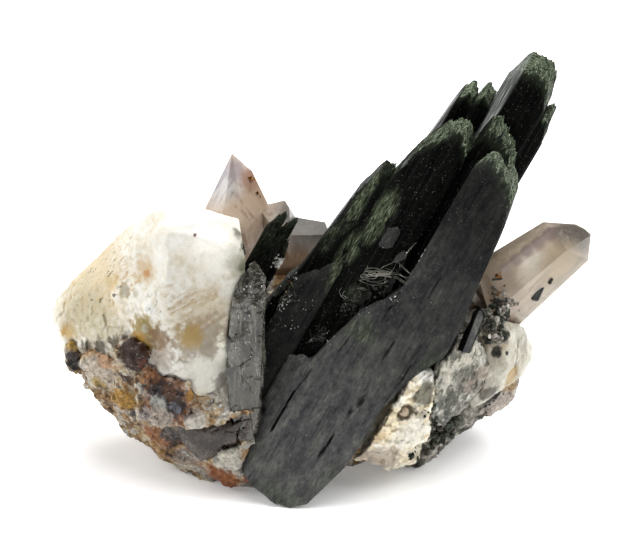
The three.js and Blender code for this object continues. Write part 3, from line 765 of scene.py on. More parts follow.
# %% Make the bundle
DULL_FACE = {"matte": plate_dullness, "carve": plate_relief, "moss": MOSS_PLATE, "reed": 0.3}
# Some blades below carry a painted reflection: pale streaks on the left edge and flank.
bundle = {
    "front_plate": [
        blade(PLATE_LEFT, 1.0, 2.0, fray=0.45, fray_zone=1.0, pinch=0.15, wear=(1.6, 0.0),
              powder=0.0, **DULL_FACE),
        blade(PLATE_RIGHT, 0.8, 2.0, fray=0.55, fray_zone=2.6, wear=(0.0, 1.5), **DULL_FACE),
    ],
    "glossy_blades": [
        blade(GLOSSY, -1.0, 11.0, fray=0.7, fray_zone=2.4, pinch=0.35, moss=MOSS_GLOSSY),
        *[blade(facet, 3.8, 13.0, fray=0.3, fray_zone=0.6, pinch=0.1, reed=0.4,
                matte=plate_dullness, powder=0.0) for facet in (FRONT_BLOCK, FRONT_CHIP)],
    ],
    "left_ridge": [
        blade(LEFT_RIDGE, -1.5, 17.0, pinch=0.4, reed=1.3, painted_reflection=(0.8, 0.9, 1.0),
              moss=MOSS_RIDGE, powder=0.5),
        blade(LEFT_STEP, 1.0, 19.0, fray=0.4, fray_zone=1.5, pinch=0.3, matte=step_dullness,
              moss=MOSS_RIDGE, powder=0.15),
    ],
    "middle_blades": [
        blade(MIDDLE_BLADES, -1.6, 23.0, fray=1.1, fray_zone=3.2, pinch=0.4, reed=1.4),
    ],
    "tall_blade": [
        blade(TALL_BLADE, -6.8, 29.0, fray=0.6, fray_zone=2.2, fall=0.42, reed=0.6,
              painted_reflection=(1.0, 1.5, 0.0)),
        blade(TALL_SIDE, -6.2, 31.0, fray=0.7, fray_zone=2.5, fall=0.3, reed=1.2),
    ],
    "rear_blades": [
        blade(REAR_BLADES, -7.8, 37.0, fray_zone=2.2, pinch=0.2, fall=0.3, reed=0.9,
              painted_reflection=(0.9, 1.0, 0.0)),
        blade(REAR_KNOB, -7.6, 41.0, fray_zone=2.2, pinch=0.2, fall=0.3),
    ],
    "bundle_heart": [blade(HEART, -4.6, 43.0, fray=0.4, fray_zone=1.5, reed=1.5)],
}
for name, blades in bundle.items():
    finished(name, cut_at_rest(joined(*blades)), AEGIRINE, ["aegirine_bundle"])

# %% [markdown]
# ## Rough minerals
# Feldspar breaks along flat planes and the matrix breaks into grains, so both start from the
# imported model's shape, cut into an even fine skin by a voxel remesh. Relief then moves each point
# along its normal: broken facets from Voronoi cells that each lean their own way, and a fine
# fractal grit. How deep a point lies is kept, so that the material can darken the hollows. A
# Displace modifier could move the points too, but code can change the relief from place to place.


# %% A skin of small faces
def node_shape(node):
    """A packed mineral as a merged shape, in millimetres."""
    bm = bmesh.new()
    bm.from_mesh(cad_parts[node].data)
    bmesh.ops.scale(bm, vec=(1 / MM, 1 / MM, 1 / MM), verts=bm.verts)
    bmesh.ops.remove_doubles(bm, verts=bm.verts, dist=MM)
    return bm


def remeshed(bm, voxel):
    """The same shape with an even skin of small faces."""
    mesh = bpy.data.meshes.new("rough")
    bm.to_mesh(mesh)
    bm.free()
    holder = bpy.data.objects.new("rough", mesh)
    bpy.context.collection.objects.link(holder)
    remesh = holder.modifiers.new("remesh", "REMESH")
    remesh.mode = "VOXEL"
    remesh.voxel_size = voxel
    fine = bmesh.new()
    fine.from_object(holder, bpy.context.evaluated_depsgraph_get())
    bpy.data.objects.remove(holder)
    bpy.data.meshes.remove(mesh)
    return fine


print("a packed shape's skin is remeshed in voxels")

# %% Carve a skin
FACET_LEAN = 1.5
CONTACT_SWELL = 0.16


def broken(p, size, seed):
    """Height of a broken surface: every cell is a small plane that leans its own way."""
    q = p / size + Vector((seed, seed * 0.7, seed * 1.3))
    centre = noise.voronoi(q)[1][0]
    lean = noise.noise_vector(centre * 11.3) * FACET_LEAN
    return size * ((q - centre).dot(lean) + 0.5 * noise.noise(centre * 5.7))


def grit(p, size):
    """Fine fractal relief."""
    return size * noise.fractal(p / size, 0.8, 2.1, 4)


def bump_at(p, place, radius):
    """1 at a place, falling softly to 0 at a radius."""
    return smooth_step(1 - (p - Vector(place)).length / radius)


def carved(bm, relief, deepest):
    """Moves each point along its normal by relief(place), and keeps how deep it lies."""
    hollow = bm.verts.layers.float.new("hollow")
    bm.normal_update()
    moves = [(v, relief(v.co)) for v in bm.verts]
    for v, move in moves:
        v[hollow] = min(max(0.5 - move / (2 * deepest), 0.0), 1.0)
        v.co += v.normal * (move + CONTACT_SWELL)
    return bm


def rough_piece(name, node, voxel, relief, deepest, material, crease=50, shape=None):
    """A packed mineral with a carved skin, finished as the piece that stands for it."""
    skin = remeshed(shape or node_shape(node), voxel)
    finished(name, carved(skin, relief, deepest), material, [node], crease)


print("facets lean up to", FACET_LEAN, "and neighbours swell", CONTACT_SWELL, "mm to meet")

# %% [markdown]
# ### Stains and streaks
# Rust, ochre and dark spots are soft patches with a torn rim, and old cracks carry lines of
# specks. A few of the patches and streaks are painted light instead: highlights, reflections and
# shade. Both are node groups, built once. They read a place in millimetres, and give masks that
# say where the colour lies. Each rock material lays its own patches and streaks over its grain.

# %% The stain and streak groups
def group_with(name, inputs):
    """A new node group with the given (name, default) inputs and a Mask to give out."""
    group = bpy.data.node_groups.new(name, "ShaderNodeTree")
    for label, default in inputs:
        kind = "NodeSocketVector" if isinstance(default, tuple) else "NodeSocketFloat"
        group.interface.new_socket(label, in_out="INPUT", socket_type=kind).default_value = default
    group.interface.new_socket("Mask", in_out="OUTPUT", socket_type="NodeSocketFloat")
    return group, group.nodes.new("NodeGroupInput").outputs


def stain_group():
    """1 inside a torn ball round a centre, and softly down to 0 at its radius."""
    group, given = group_with("stain", [
        ("Place", (0, 0, 0)), ("Tear", 0.0), ("Centre", (0, 0, 0)), ("Radius", 1.0),
        ("Softness", 0.35)])
    far = vector_of("LENGTH", vector_of("SUBTRACT", given["Place"], given["Centre"]))
    share = plus(number_of("DIVIDE", far, given["Radius"]), given["Tear"])
    mask = ranged(share, 1.0, minus(1.0, given["Softness"]), interpolation_type="SMOOTHSTEP")
    node_in(group, "NodeGroupOutput", Mask=mask)
    return group


def streak_group():
    """Marks drawn out along a turned axis, where their noise is high."""
    group, given = group_with("streaks", [
        ("Place", (0, 0, 0)), ("Turn", (0, 0, 0)), ("Grain", (1, 1, 1)), ("Low", 0.6),
        ("High", 0.7)])
    along = node_in(group, "ShaderNodeMapping", vector_type="TEXTURE", Vector=given["Place"],
                    Rotation=given["Turn"]).outputs[0]
    marks = noise_of(vector_of("MULTIPLY", along, given["Grain"]), 1.0, 4.0)
    node_in(group, "NodeGroupOutput", Mask=ranged(marks, given["Low"], given["High"]))
    return group


STAIN = stain_group()
STREAKS = streak_group()
print("stain inputs:", [i.name for i in STAIN.interface.items_tree if i.item_type == "SOCKET"])

# %% Laying stains and streaks
STREAK_SOFTNESS = 0.6


def mask_in(tree, group, **inputs):
    """The mask that a group gives for its inputs."""
    return node_in(tree, "ShaderNodeGroup", node_tree=group, **inputs).outputs["Mask"]


def stained(tree, colour, place, tear, stains, softness):
    """Lays patches of colour, given as (centre, radius, colour, strength), over a colour."""
    for centre, radius, shade, strength in stains:
        mask = mask_in(tree, STAIN, Place=place, Tear=tear, Centre=centre, Radius=radius,
                       Softness=softness)
        colour = mixed(times(mask, strength), colour, shade)
    return colour


def streaked(tree, colour, place, tear, streaks):
    """Lays streaks along a direction, inside a patch, over a colour."""
    for centre, radius, direction, grain, (low, high), shade, strength in streaks:
        turn = Vector((1, 0, 0)).rotation_difference(Vector(direction)).to_euler()
        marks = mask_in(tree, STREAKS, Place=place, Turn=turn, Grain=grain, Low=low, High=high)
        patch = mask_in(tree, STAIN, Place=place, Tear=tear, Centre=centre, Radius=radius,
                        Softness=STREAK_SOFTNESS)
        colour = mixed(times(times(marks, patch), strength), colour, shade)
    return colour


print("streaks run inside a patch of softness", STREAK_SOFTNESS)

# %% [markdown]
# ### One recipe for stone
# Every stone here is a mosaic of grains, so one recipe serves them all. Voronoi cells shade the
# grains, clouds of noise drift over them, and stains, spots and streaks lie on top. Hollows are
# darker, and thin seams may part the grains. Each stone gives its own colours and amounts.

# %% Rock material
WARP = 1.3
TEAR = 0.9
SPOT_TEAR = 1.5
SPOT_SOFTNESS = 0.5
QUARTZ_IOR = 1.544
STONE_WHITE = 0.73
STONE_BUMP = 0.0003
SEAM_WIDTH = 0.06
SEAM_COLOUR = (0.03, 0.018, 0.012)
WAXY_REACH = (1.0, 0.8, 0.6)
WAXY_DEPTH = 0.0008


def millimetres_in(tree):
    """A point's place on its object, in millimetres."""
    place = node_in(tree, "ShaderNodeTexCoord").outputs["Object"]
    return vector_of("MULTIPLY", place, (1 / MM,) * 3)


def rock_material(name, shades, stains, streaks=(), spots=(), *, roughness, grain=0.9, patchy=0.6,
                  lines=0.0, hollow_tint=(0.1, 0.07, 0.05), hollow_share=0.5, bump=0.5, waxy=0.0,
                  clear=0.0, depth=None, softness=0.4, mottle=0.15, specular=0.2):
    """Grains of several shades, darker in hollows, with stains and streaks laid over them."""
    material, tree = new_material(name)
    place = millimetres_in(tree)
    bend = node_in(tree, "ShaderNodeTexNoise", Vector=place, Scale=0.55, Detail=4.0,
                   Roughness=0.65).outputs["Color"]
    bend = vector_of("MULTIPLY", vector_of("SUBTRACT", bend, (0.5,) * 3), (WARP,) * 3)
    bent = vector_of("ADD", place, bend)
    fine = noise_of(place, 2.4, 6.0, 0.72)
    tear = times(minus(noise_of(place, 1.2, 3.0, 0.52), 0.5), TEAR)
    cells = node_in(tree, "ShaderNodeTexVoronoi", Vector=bent, Scale=grain)
    tone = node_in(tree, "ShaderNodeRGBToBW", cells.outputs["Color"]).outputs[0]
    cloudy = plus(times(minus(tone, 0.5), patchy), noise_of(place, 0.28, 5.0, 0.6))
    colour = ramp_of(plus(cloudy, times(tear, 0.6)), *shades)

    colour = stained(tree, colour, bent, tear, stains, softness)
    colour = stained(tree, colour, bent, times(tear, SPOT_TEAR), spots, SPOT_SOFTNESS)
    colour = streaked(tree, colour, bent, tear, streaks)
    fleck = ranged(noise_of(place, 1.8, 4.0, 0.6), 0.34, 0.66, 1 - mottle, 1 + mottle)
    colour = vector_of("MULTIPLY", colour, fleck)
    if lines:
        edge = node_in(tree, "ShaderNodeTexVoronoi", feature="DISTANCE_TO_EDGE", Vector=bent,
                       Scale=grain).outputs["Distance"]
        seam = times(ranged(edge, SEAM_WIDTH, 0.0), times(fine, 2 * lines))
        colour = mixed(seam, colour, SEAM_COLOUR)
    # darker in the hollows of the carved relief, towards hollow_tint
    hollow_darkening = times(ranged(attribute_in(tree, "hollow"), 0.5, 1.0), hollow_share)
    colour = vector_of("MULTIPLY", mixed(hollow_darkening, colour, hollow_tint), (STONE_WHITE,) * 3)

    relief = bump_of(plus(fine, times(cells.outputs["Distance"], 0.5)), bump, STONE_BUMP)
    surface_in(tree, colour, number_of("MULTIPLY_ADD", fine, 0.5, roughness - 0.25), depth,
               Normal=relief, IOR=QUARTZ_IOR, Specular_IOR_Level=specular,
               Transmission_Weight=clear, Subsurface_Weight=waxy, Subsurface_Radius=WAXY_REACH,
               Subsurface_Scale=WAXY_DEPTH)
    return material


print("stone reflects", STONE_WHITE, "of the colours that follow")

# %% [markdown]
# ### The feldspar block
# The block broke along its cleavage, so its faces are nearly flat, with low steps where one
# sheet ends and the next goes on. Cream and a little waxy, it is stained ochre towards the
# matrix, and fine dark specks follow its old cracks.

# %% Feldspar block
CLEAVAGE = Vector((0.35, -0.25, 0.9)).normalized()
SHEET = 1.3
RIDGE_WIDTH = 0.28
FELDSPAR_RIDGE = [
    (-20.4, -6.4, 34.4), (-19.4, -7.2, 33.0), (-18.9, -7.9, 31.3), (-19.0, -8.2, 29.8),
    (-19.6, -8.2, 28.2), (-20.8, -7.9, 26.8),
]
NODULES = [
    # place, radius, height
    ((-22.4, -7.5, 22.0), 1.7, 0.5), ((-16.4, -9.5, 22.3), 1.6, 0.35),
    ((-21.4, -7.8, 25.6), 1.3, 0.35), ((-26.0, -3.7, 25.5), 1.2, 0.25),
    ((-12.2, -9.5, 20.4), 1.4, 0.5), ((-12.2, -9.4, 21.8), 0.9, 0.4),
]


def line_distance(p, points):
    """How far a place is from a line through some points."""
    near = []
    for a, b in zip(points, points[1:]):
        start, run = Vector(a), Vector(b) - Vector(a)
        share = min(max((p - start).dot(run) / run.length_squared, 0.0), 1.0)
        near.append((p - start - run * share).length)
    return min(near)


def feldspar_relief(p):
    """Cleavage steps on near-flat faces, with a rough foot, a ridge, nodules and a pitted side."""
    low = 0.25 * noise.noise(p * 0.16) + 0.06 * noise.noise(p * 0.6)
    sheets = p.dot(CLEAVAGE) / SHEET + 1.4 * noise.noise(p * 0.11)
    step = sheets - math.floor(sheets)
    steps = 0.035 * (smooth_step(step * 5) - step) * smooth_step(noise.noise(p * 0.23) * 4 + 0.6)
    near_base = smooth_step((22.6 - p.z - 0.25 * (p.x + 20)) / 4)
    milky = 1 - 0.6 * smooth_step((p.x + 19) / 3)
    rough_base = near_base * milky * (0.15 * broken(p, 2.2, 5.0) + 0.10 * broken(p, 0.8, 9.0))
    ridge = -0.16 * smooth_step(1 - line_distance(p, FELDSPAR_RIDGE) / RIDGE_WIDTH)
    lumps = max(height * bump_at(p, place, radius * 1.4) for place, radius, height in NODULES)
    left_face = smooth_step((-21.0 - p.x) / 2)
    pitted = left_face * min(noise.noise(p * 1.3) + 0.22, 0.0) * 0.3
    return low + steps + rough_base + ridge + lumps + pitted + 0.03 * grit(p, 0.7)


print("feldspar sheets:", SHEET, "mm thick")

# %% [markdown]
# ### The colour of the feldspar
# A painted picture could colour the block, but patches that are placed by numbers stay sharp at
# any size. Broad soft patches come first: stains, a painted highlight over the top of the block,
# and a beige wash that is partly its own tint and partly painted shade. Then come small spots
# with a more torn rim, and last the fine streaks, dark or ochre, that follow the old cracks.

# %% Feldspar stains
FELDSPAR_STAINS_AND_PAINTED_LIGHT = [
    # centre, radius, colour, strength
    # painted highlight: the next two patches whiten the top of the block, where the key light falls
    ((-14.5, -4.6, 36.4), 6.0, (1.02, 1.02, 0.98), 0.9),
    ((-13.0, -6.8, 34.2), 4.8, (1.20, 1.16, 1.06), 0.85),
    ((-29.0, 1.0, 26.0), 11.0, (0.80, 0.66, 0.42), 0.85),
    ((-33.0, 2.0, 20.0), 5.0, (0.66, 0.58, 0.40), 0.6),
    ((-27.5, -2.4, 21.0), 4.5, (0.58, 0.54, 0.38), 0.7),
    # partly the stone's own beige and partly painted shade: darker towards the lower right face
    ((-14.5, -8.8, 25.0), 6.8, (0.68, 0.59, 0.42), 0.85),
    ((-9.8, -6.6, 31.8), 3.4, (0.50, 0.48, 0.37), 0.85),
    ((-22.2, -6.0, 30.3), 2.4, (0.66, 0.44, 0.20), 0.7),
    ((-21.8, -6.2, 29.8), 0.9, (0.55, 0.23, 0.06), 0.8),
    ((-15.8, -6.6, 35.4), 0.42, (0.09, 0.02, 0.01), 1.0),
    ((-27.5, -2.8, 27.3), 1.8, (0.68, 0.50, 0.22), 0.6),
    ((-24.0, -4.6, 33.6), 2.2, (0.72, 0.60, 0.40), 0.5),
    ((-19.3, -8.2, 28.0), 1.2, (0.62, 0.45, 0.20), 0.5),
    ((-22.0, -7.6, 23.4), 2.2, (0.46, 0.38, 0.20), 0.7),
    ((-16.6, -9.4, 22.4), 3.2, (0.52, 0.46, 0.34), 0.7),
    ((-25.1, -6.0, 20.2), 2.6, (0.12, 0.085, 0.045), 0.6),
    ((-28.4, -2.9, 17.6), 2.6, (0.15, 0.11, 0.07), 0.6),
    ((-33.4, 0.6, 18.4), 2.0, (0.58, 0.36, 0.08), 0.85),
    ((-10.2, -5.0, 35.2), 1.2, (0.04, 0.05, 0.03), 0.85),
    ((-9.9, -5.6, 33.4), 1.1, (0.05, 0.065, 0.035), 0.85),
    ((-9.8, -6.8, 31.4), 1.1, (0.20, 0.22, 0.12), 0.7),
    ((-30.5, 0.0, 22.0), 6.0, (0.60, 0.54, 0.36), 0.75),
    ((-24.0, -5.0, 24.4), 1.6, (0.56, 0.53, 0.40), 0.6),
    ((-23.4, -5.6, 27.0), 1.0, (0.40, 0.36, 0.26), 0.5),
    ((-22.0, 8.0, 30.0), 9.0, (0.82, 0.70, 0.48), 0.7),
    ((-14.0, 10.0, 25.0), 7.0, (0.66, 0.53, 0.36), 0.6),
    ((-28.0, 6.0, 21.0), 6.0, (0.58, 0.47, 0.30), 0.7),
]
print("feldspar stains:", len(FELDSPAR_STAINS_AND_PAINTED_LIGHT))

# %% Feldspar spots
FELDSPAR_SPOTS = [
    ((-32.4, 0.3, 16.9), 1.1, (0.13, 0.10, 0.04), 0.85),
    ((-30.6, -1.2, 17.1), 1.4, (0.11, 0.09, 0.05), 0.9),
    ((-28.6, -2.9, 18.1), 1.5, (0.08, 0.065, 0.035), 0.9),
    ((-26.6, -4.6, 19.3), 1.4, (0.06, 0.045, 0.025), 0.95),
    ((-25.2, -5.7, 20.4), 1.1, (0.05, 0.03, 0.018), 0.95),
    ((-33.6, 1.8, 17.6), 1.1, (0.55, 0.33, 0.07), 0.85),
    ((-21.8, -6.2, 30.0), 0.75, (0.60, 0.28, 0.08), 0.9),
    ((-20.9, -8.2, 19.8), 3.4, (0.46, 0.38, 0.31), 0.8),
    ((-14.4, -9.6, 21.4), 5.2, (0.39, 0.335, 0.255), 0.85),
    ((-22.4, -7.4, 22.2), 3.0, (0.33, 0.235, 0.055), 0.95),
    ((-23.1, -7.2, 20.9), 1.9, (0.50, 0.27, 0.04), 0.95),
    ((-22.2, -7.7, 22.9), 0.8, (0.50, 0.48, 0.38), 0.8),
    ((-20.4, -8.4, 22.0), 2.0, (0.26, 0.15, 0.07), 0.85),
    ((-16.3, -9.5, 22.6), 2.3, (0.46, 0.31, 0.10), 0.9),
    ((-21.4, -7.8, 25.8), 1.2, (0.90, 0.91, 0.86), 0.95),
    ((-26.05, -3.7, 25.5), 1.0, (0.88, 0.87, 0.80), 0.85),
    ((-25.0, -4.6, 26.9), 1.3, (0.24, 0.22, 0.15), 0.6),
    ((-12.3, -9.4, 23.0), 0.55, (0.95, 0.92, 0.76), 1.0),
    ((-12.3, -9.5, 22.2), 1.0, (0.97, 0.94, 0.78), 1.0),
    ((-12.5, -9.6, 21.2), 1.4, (0.97, 0.94, 0.78), 1.0),
    ((-12.8, -9.7, 20.0), 2.0, (0.95, 0.92, 0.78), 1.0),
    ((-14.6, -9.8, 18.0), 3.4, (0.90, 0.88, 0.77), 0.95),
    ((-10.4, -9.4, 19.6), 1.4, (0.36, 0.31, 0.25), 0.9),
    ((-14.2, -9.8, 20.8), 1.5, (0.36, 0.30, 0.22), 0.85),
    ((-12.4, -9.9, 16.2), 1.5, (0.26, 0.22, 0.19), 0.85),
]
print("feldspar spots:", len(FELDSPAR_SPOTS))

# %% Feldspar streaks and finish
UP_LEFT_FACE = (0.57, -0.32, 0.76)
ALONG_BEIGE = (0.84, -0.05, 0.53)
FELDSPAR_STREAKS = [
    # centre, radius, direction, grain, mask edges, colour, strength
    ((-28.5, -1.0, 25.5), 7.5, UP_LEFT_FACE, (0.55, 1.9, 1.9), (0.60, 0.65),
     (0.05, 0.045, 0.02), 0.95),
    ((-25.5, -3.0, 30.5), 4.0, UP_LEFT_FACE, (1.0, 3.0, 3.0), (0.61, 0.67),
     (0.08, 0.07, 0.04), 0.8),
    ((-30.0, 0.5, 25.0), 7.0, UP_LEFT_FACE, (0.25, 1.1, 1.1), (0.52, 0.66),
     (0.70, 0.46, 0.16), 0.55),
    ((-24.6, -4.4, 29.4), 3.4, UP_LEFT_FACE, (0.3, 2.2, 2.2), (0.52, 0.62),
     (0.58, 0.34, 0.09), 0.7),
    ((-16.2, -8.9, 26.8), 5.0, ALONG_BEIGE, (0.14, 1.5, 1.5), (0.50, 0.70),
     (0.44, 0.28, 0.12), 0.8),
    ((-13.0, -8.8, 24.0), 3.6, ALONG_BEIGE, (0.2, 1.4, 1.4), (0.50, 0.70),
     (0.30, 0.21, 0.12), 0.7),
    ((-20.4, -8.0, 26.6), 2.6, (0.4, 0, 0.9), (0.6, 2.4, 2.4), (0.55, 0.64),
     (0.16, 0.13, 0.06), 0.7),
]
FELDSPAR = rock_material(
    "feldspar_cream",
    [(0.25, (0.78, 0.69, 0.51)), (0.40, (0.90, 0.84, 0.70)), (0.55, (0.97, 0.94, 0.85)),
     (0.75, (1.0, 0.99, 0.93))],
    FELDSPAR_STAINS_AND_PAINTED_LIGHT, FELDSPAR_STREAKS, FELDSPAR_SPOTS, grain=0.5, patchy=0.1,
    hollow_tint=(0.50, 0.40, 0.24), hollow_share=0.6, roughness=0.45, bump=0.14, waxy=0.12,
    softness=0.75, mottle=0.05, specular=0.35)
rough_piece("feldspar", "feldspar_block", 0.17, feldspar_relief, 0.5, FELDSPAR, 35)

# %% [markdown]
# ### The rusty matrix
# Under the feldspar the stone is a jumble of weathered grains: rust, ochre, cream and near black,
# with dark seams between them. Each lump is named by its place, so the colours lie where they
# belong. Patches on the seam at the back are laid on both stones, so that they run into each other.

# %% Rusty stains
SEAM_STAINS = [
    # laid on both stones where they meet at the back
    ((10.0, 11.0, 19.0), 5.5, (0.40, 0.36, 0.31), 0.85),
    ((9.0, 12.0, 11.0), 5.5, (0.52, 0.46, 0.38), 0.85),
    ((10.5, 11.0, 4.0), 5.0, (0.32, 0.20, 0.12), 0.85),
]
RUSTY_STAINS = [
    ((-32.8, -0.2, 17.1), 1.6, (0.62, 0.40, 0.10), 0.85),
    ((-32.8, -1.0, 14.6), 2.1, (0.018, 0.018, 0.020), 0.95),
    ((-28.9, -4.0, 14.4), 3.2, (0.66, 0.57, 0.46), 0.85),
    ((-28.2, -4.4, 16.6), 1.5, (0.52, 0.27, 0.13), 0.7),
    ((-29.2, -3.2, 12.6), 1.3, (0.52, 0.36, 0.10), 0.8),
    ((-26.5, -5.5, 17.4), 1.2, (0.60, 0.44, 0.30), 0.7),
    ((-23.8, -8.2, 19.2), 3.3, (0.032, 0.010, 0.007), 0.97),
    ((-22.6, -8.4, 18.4), 1.1, (0.15, 0.045, 0.025), 0.7),
    ((-20.6, -8.4, 16.8), 2.4, (0.23, 0.18, 0.14), 0.9),
    ((-22.0, -8.0, 16.6), 1.1, (0.36, 0.15, 0.05), 0.85),
    ((-19.4, -8.8, 18.2), 0.9, (0.22, 0.15, 0.05), 0.85),
    ((-19.4, -9.6, 17.6), 1.0, (0.34, 0.20, 0.05), 0.85),
    ((-22.4, -8.0, 15.4), 1.3, (0.40, 0.17, 0.06), 0.8),
    ((-25.3, -6.2, 15.4), 1.7, (0.05, 0.025, 0.02), 0.9),
    ((-25.2, -6.4, 17.8), 0.9, (0.12, 0.04, 0.025), 0.8),
    ((-19.6, -9.8, 13.4), 4.6, (0.30, 0.11, 0.03), 0.92),
    ((-19.8, -9.9, 13.6), 3.6, (0.026, 0.025, 0.031), 0.95),
    ((-19.4, -10.0, 14.8), 1.4, (0.12, 0.05, 0.02), 0.8),
    ((-20.9, -9.2, 12.6), 1.8, (0.56, 0.57, 0.52), 0.9),
    ((-18.6, -10.4, 12.8), 0.9, (0.20, 0.22, 0.26), 0.8),
    ((-16.2, -11.0, 14.6), 1.2, (0.50, 0.25, 0.05), 0.9),
    ((-15.6, -11.0, 12.6), 1.0, (0.46, 0.22, 0.05), 0.8),
    ((-26.0, -5.8, 11.2), 2.4, (0.48, 0.26, 0.045), 0.95),
    ((-26.6, -5.0, 9.6), 1.1, (0.50, 0.47, 0.42), 0.7),
    ((-24.2, -6.8, 9.2), 1.6, (0.035, 0.03, 0.03), 0.9),
    ((-15.9, -11.4, 11.5), 2.0, (0.62, 0.58, 0.52), 0.85),
    ((-20.5, -9.4, 10.9), 2.0, (0.52, 0.45, 0.38), 0.8),
    ((-22.6, -8.0, 10.6), 1.2, (0.46, 0.42, 0.42), 0.7),
    ((-21.6, -7.2, 7.0), 2.9, (0.36, 0.15, 0.06), 0.9),
    ((-19.4, -8.6, 8.0), 1.9, (0.07, 0.07, 0.075), 0.85),
    ((-23.6, -4.8, 5.8), 2.0, (0.60, 0.46, 0.26), 0.75),
    ((-21.8, -6.0, 4.4), 1.5, (0.50, 0.26, 0.06), 0.7),
    ((-17.4, -8.6, 4.2), 2.2, (0.42, 0.34, 0.28), 0.85),
    ((-12.3, -11.5, 6.9), 3.0, (0.62, 0.59, 0.50), 0.9),
    ((-12.0, -9.7, 15.4), 3.2, (0.66, 0.63, 0.55), 0.85),
    ((-12.8, -9.7, 1.8), 3.2, (0.30, 0.10, 0.035), 0.92),
    ((-15.4, -8.8, 2.6), 1.4, (0.62, 0.45, 0.34), 0.6),
    ((-8.8, -9.7, 2.2), 2.0, (0.26, 0.09, 0.035), 0.9),
    ((-2.5, 5.0, 26.0), 3.6, (0.24, 0.11, 0.05), 0.8),
    ((-13.0, 12.0, 16.0), 8.0, (0.56, 0.49, 0.40), 0.75),
    ((-4.0, 13.0, 6.0), 7.0, (0.30, 0.17, 0.09), 0.7),
    ((2.0, 13.0, 18.0), 6.0, (0.17, 0.14, 0.12), 0.7),
    ((-26.0, 6.0, 10.0), 6.0, (0.44, 0.25, 0.10), 0.7),
    *SEAM_STAINS,
]
print("rusty stains:", len(RUSTY_STAINS))

# %% Rusty matrix
RUSTY_STREAKS = [
    ((-22.5, -7.0, 12.0), 14.0, (0.3, 0, 1), (1.5, 2.0, 1.5), (0.58, 0.66),
     (0.035, 0.02, 0.012), 0.75),
    ((-22.5, -7.0, 12.0), 14.0, (1, 0, 0.3), (1.1, 2.6, 2.6), (0.62, 0.70),
     (0.72, 0.68, 0.60), 0.7),
]


def rusty_relief(p):
    """Lumps and grains of several sizes, with larger lumps at the back."""
    lumps = 0.24 * broken(p, 2.6, 1.0) + 0.26 * broken(p, 1.2, 4.0)
    lumps += 0.2 * smooth_step((p.y - 4.0) / 4) * broken(p, 6.0, 21.0)
    grains = 0.20 * broken(p, 0.55, 8.0)
    return lumps + grains + 0.12 * grit(p, 0.9)


RUSTY = rock_material(
    "matrix_rusty",
    [(0.22, (0.06, 0.035, 0.022)), (0.36, (0.22, 0.12, 0.05)), (0.45, (0.44, 0.27, 0.11)),
     (0.55, (0.58, 0.48, 0.34)), (0.66, (0.66, 0.61, 0.52)), (0.8, (0.40, 0.38, 0.36))],
    RUSTY_STAINS, RUSTY_STREAKS, grain=0.62, patchy=0.5, lines=0.3,
    hollow_tint=(0.045, 0.022, 0.013), hollow_share=0.8, roughness=0.5, bump=0.45, mottle=0.38)
rough_piece("rusty_stone", "rusty_matrix", 0.24, rusty_relief, 0.8, RUSTY)

# %% [markdown]
# ### The pale matrix on the right
# Three feldspars and a grey stone behind them make the right side, each with a relief of its
# own. The first is a cream and yellow lump with a spiky broken face. A groove runs round the
# small knob on its front.

# %% Cream lump
RING_CENTRE = Vector((11.2, -10.8, 12.3))
RING_RADIUS = 0.95
RING_WIDTH = 0.4


def crumbly_relief(p):
    """A spiky broken face, with a ring-shaped groove round its knob."""
    ring = abs((p - RING_CENTRE).length - RING_RADIUS)
    groove = -0.35 * smooth_step(1 - ring / RING_WIDTH)
    return (0.30 * broken(p, 1.5, 2.0) + 0.24 * broken(p, 0.7, 6.0) + 0.10 * broken(p, 0.35, 9.0)
            + 0.06 * grit(p, 0.6) + groove)


CREAM_STAINS = [
    ((8.6, -11.0, 10.6), 3.8, (1.15, 1.0, 0.70), 0.8),
    ((7.4, -10.6, 8.6), 1.6, (0.78, 0.55, 0.27), 0.6),
    ((14.2, -9.6, 17.8), 2.4, (0.93, 0.92, 0.86), 0.9),
    ((13.5, -10.3, 14.9), 2.1, (0.17, 0.165, 0.12), 0.9),
    ((11.3, -10.7, 12.3), 1.75, (0.03, 0.022, 0.014), 0.97),
    ((11.1, -10.8, 12.4), 0.85, (0.70, 0.55, 0.40), 1.0),
    ((9.8, -10.9, 13.0), 0.8, (0.30, 0.20, 0.08), 0.7),
    ((11.6, -10.2, 8.6), 2.6, (1.22, 1.17, 1.02), 0.85),
    ((13.2, -9.6, 11.6), 1.2, (0.60, 0.58, 0.50), 0.7),
    ((8.4, -9.2, 4.6), 2.8, (0.60, 0.50, 0.41), 0.8),
    ((6.0, -9.4, 5.2), 1.6, (0.46, 0.40, 0.36), 0.6),
]
CREAM_STREAKS = [
    ((11.0, -10.0, 11.0), 9.0, (0.3, 0, 1), (1.4, 2.6, 2.6), (0.60, 0.68),
     (0.30, 0.22, 0.11), 0.7),
]
CREAM = rock_material(
    "feldspar_yellow",
    [(0.25, (0.95, 0.80, 0.53)), (0.42, (1.10, 0.98, 0.74)), (0.58, (1.20, 1.13, 0.95)),
     (0.8, (1.25, 1.20, 1.08))],
    CREAM_STAINS, CREAM_STREAKS, grain=1.0, patchy=0.5, hollow_tint=(0.42, 0.31, 0.15),
    roughness=0.5, bump=0.35, waxy=0.1, mottle=0.13)
rough_piece("cream_lump", "cream_feldspar_lump", 0.15, crumbly_relief, 0.6, CREAM)

# %% [markdown]
# ### The mottled blade
# This feldspar grew long, and grey green quartz grew through it. Its broken facets are drawn out
# along it, because the relief reads a place that is squeezed that way. Streaks of both colours
# run the same way.


# %% Mottled blade
def bladed_relief(p):
    """Facets drawn out along the blade."""
    stretched = Vector((p.x, p.y, p.z * 0.45 + 0.3 * p.x))
    return (0.26 * broken(stretched, 1.1, 7.0) + 0.18 * broken(stretched, 0.5, 3.0)
            + 0.06 * grit(p, 0.6))


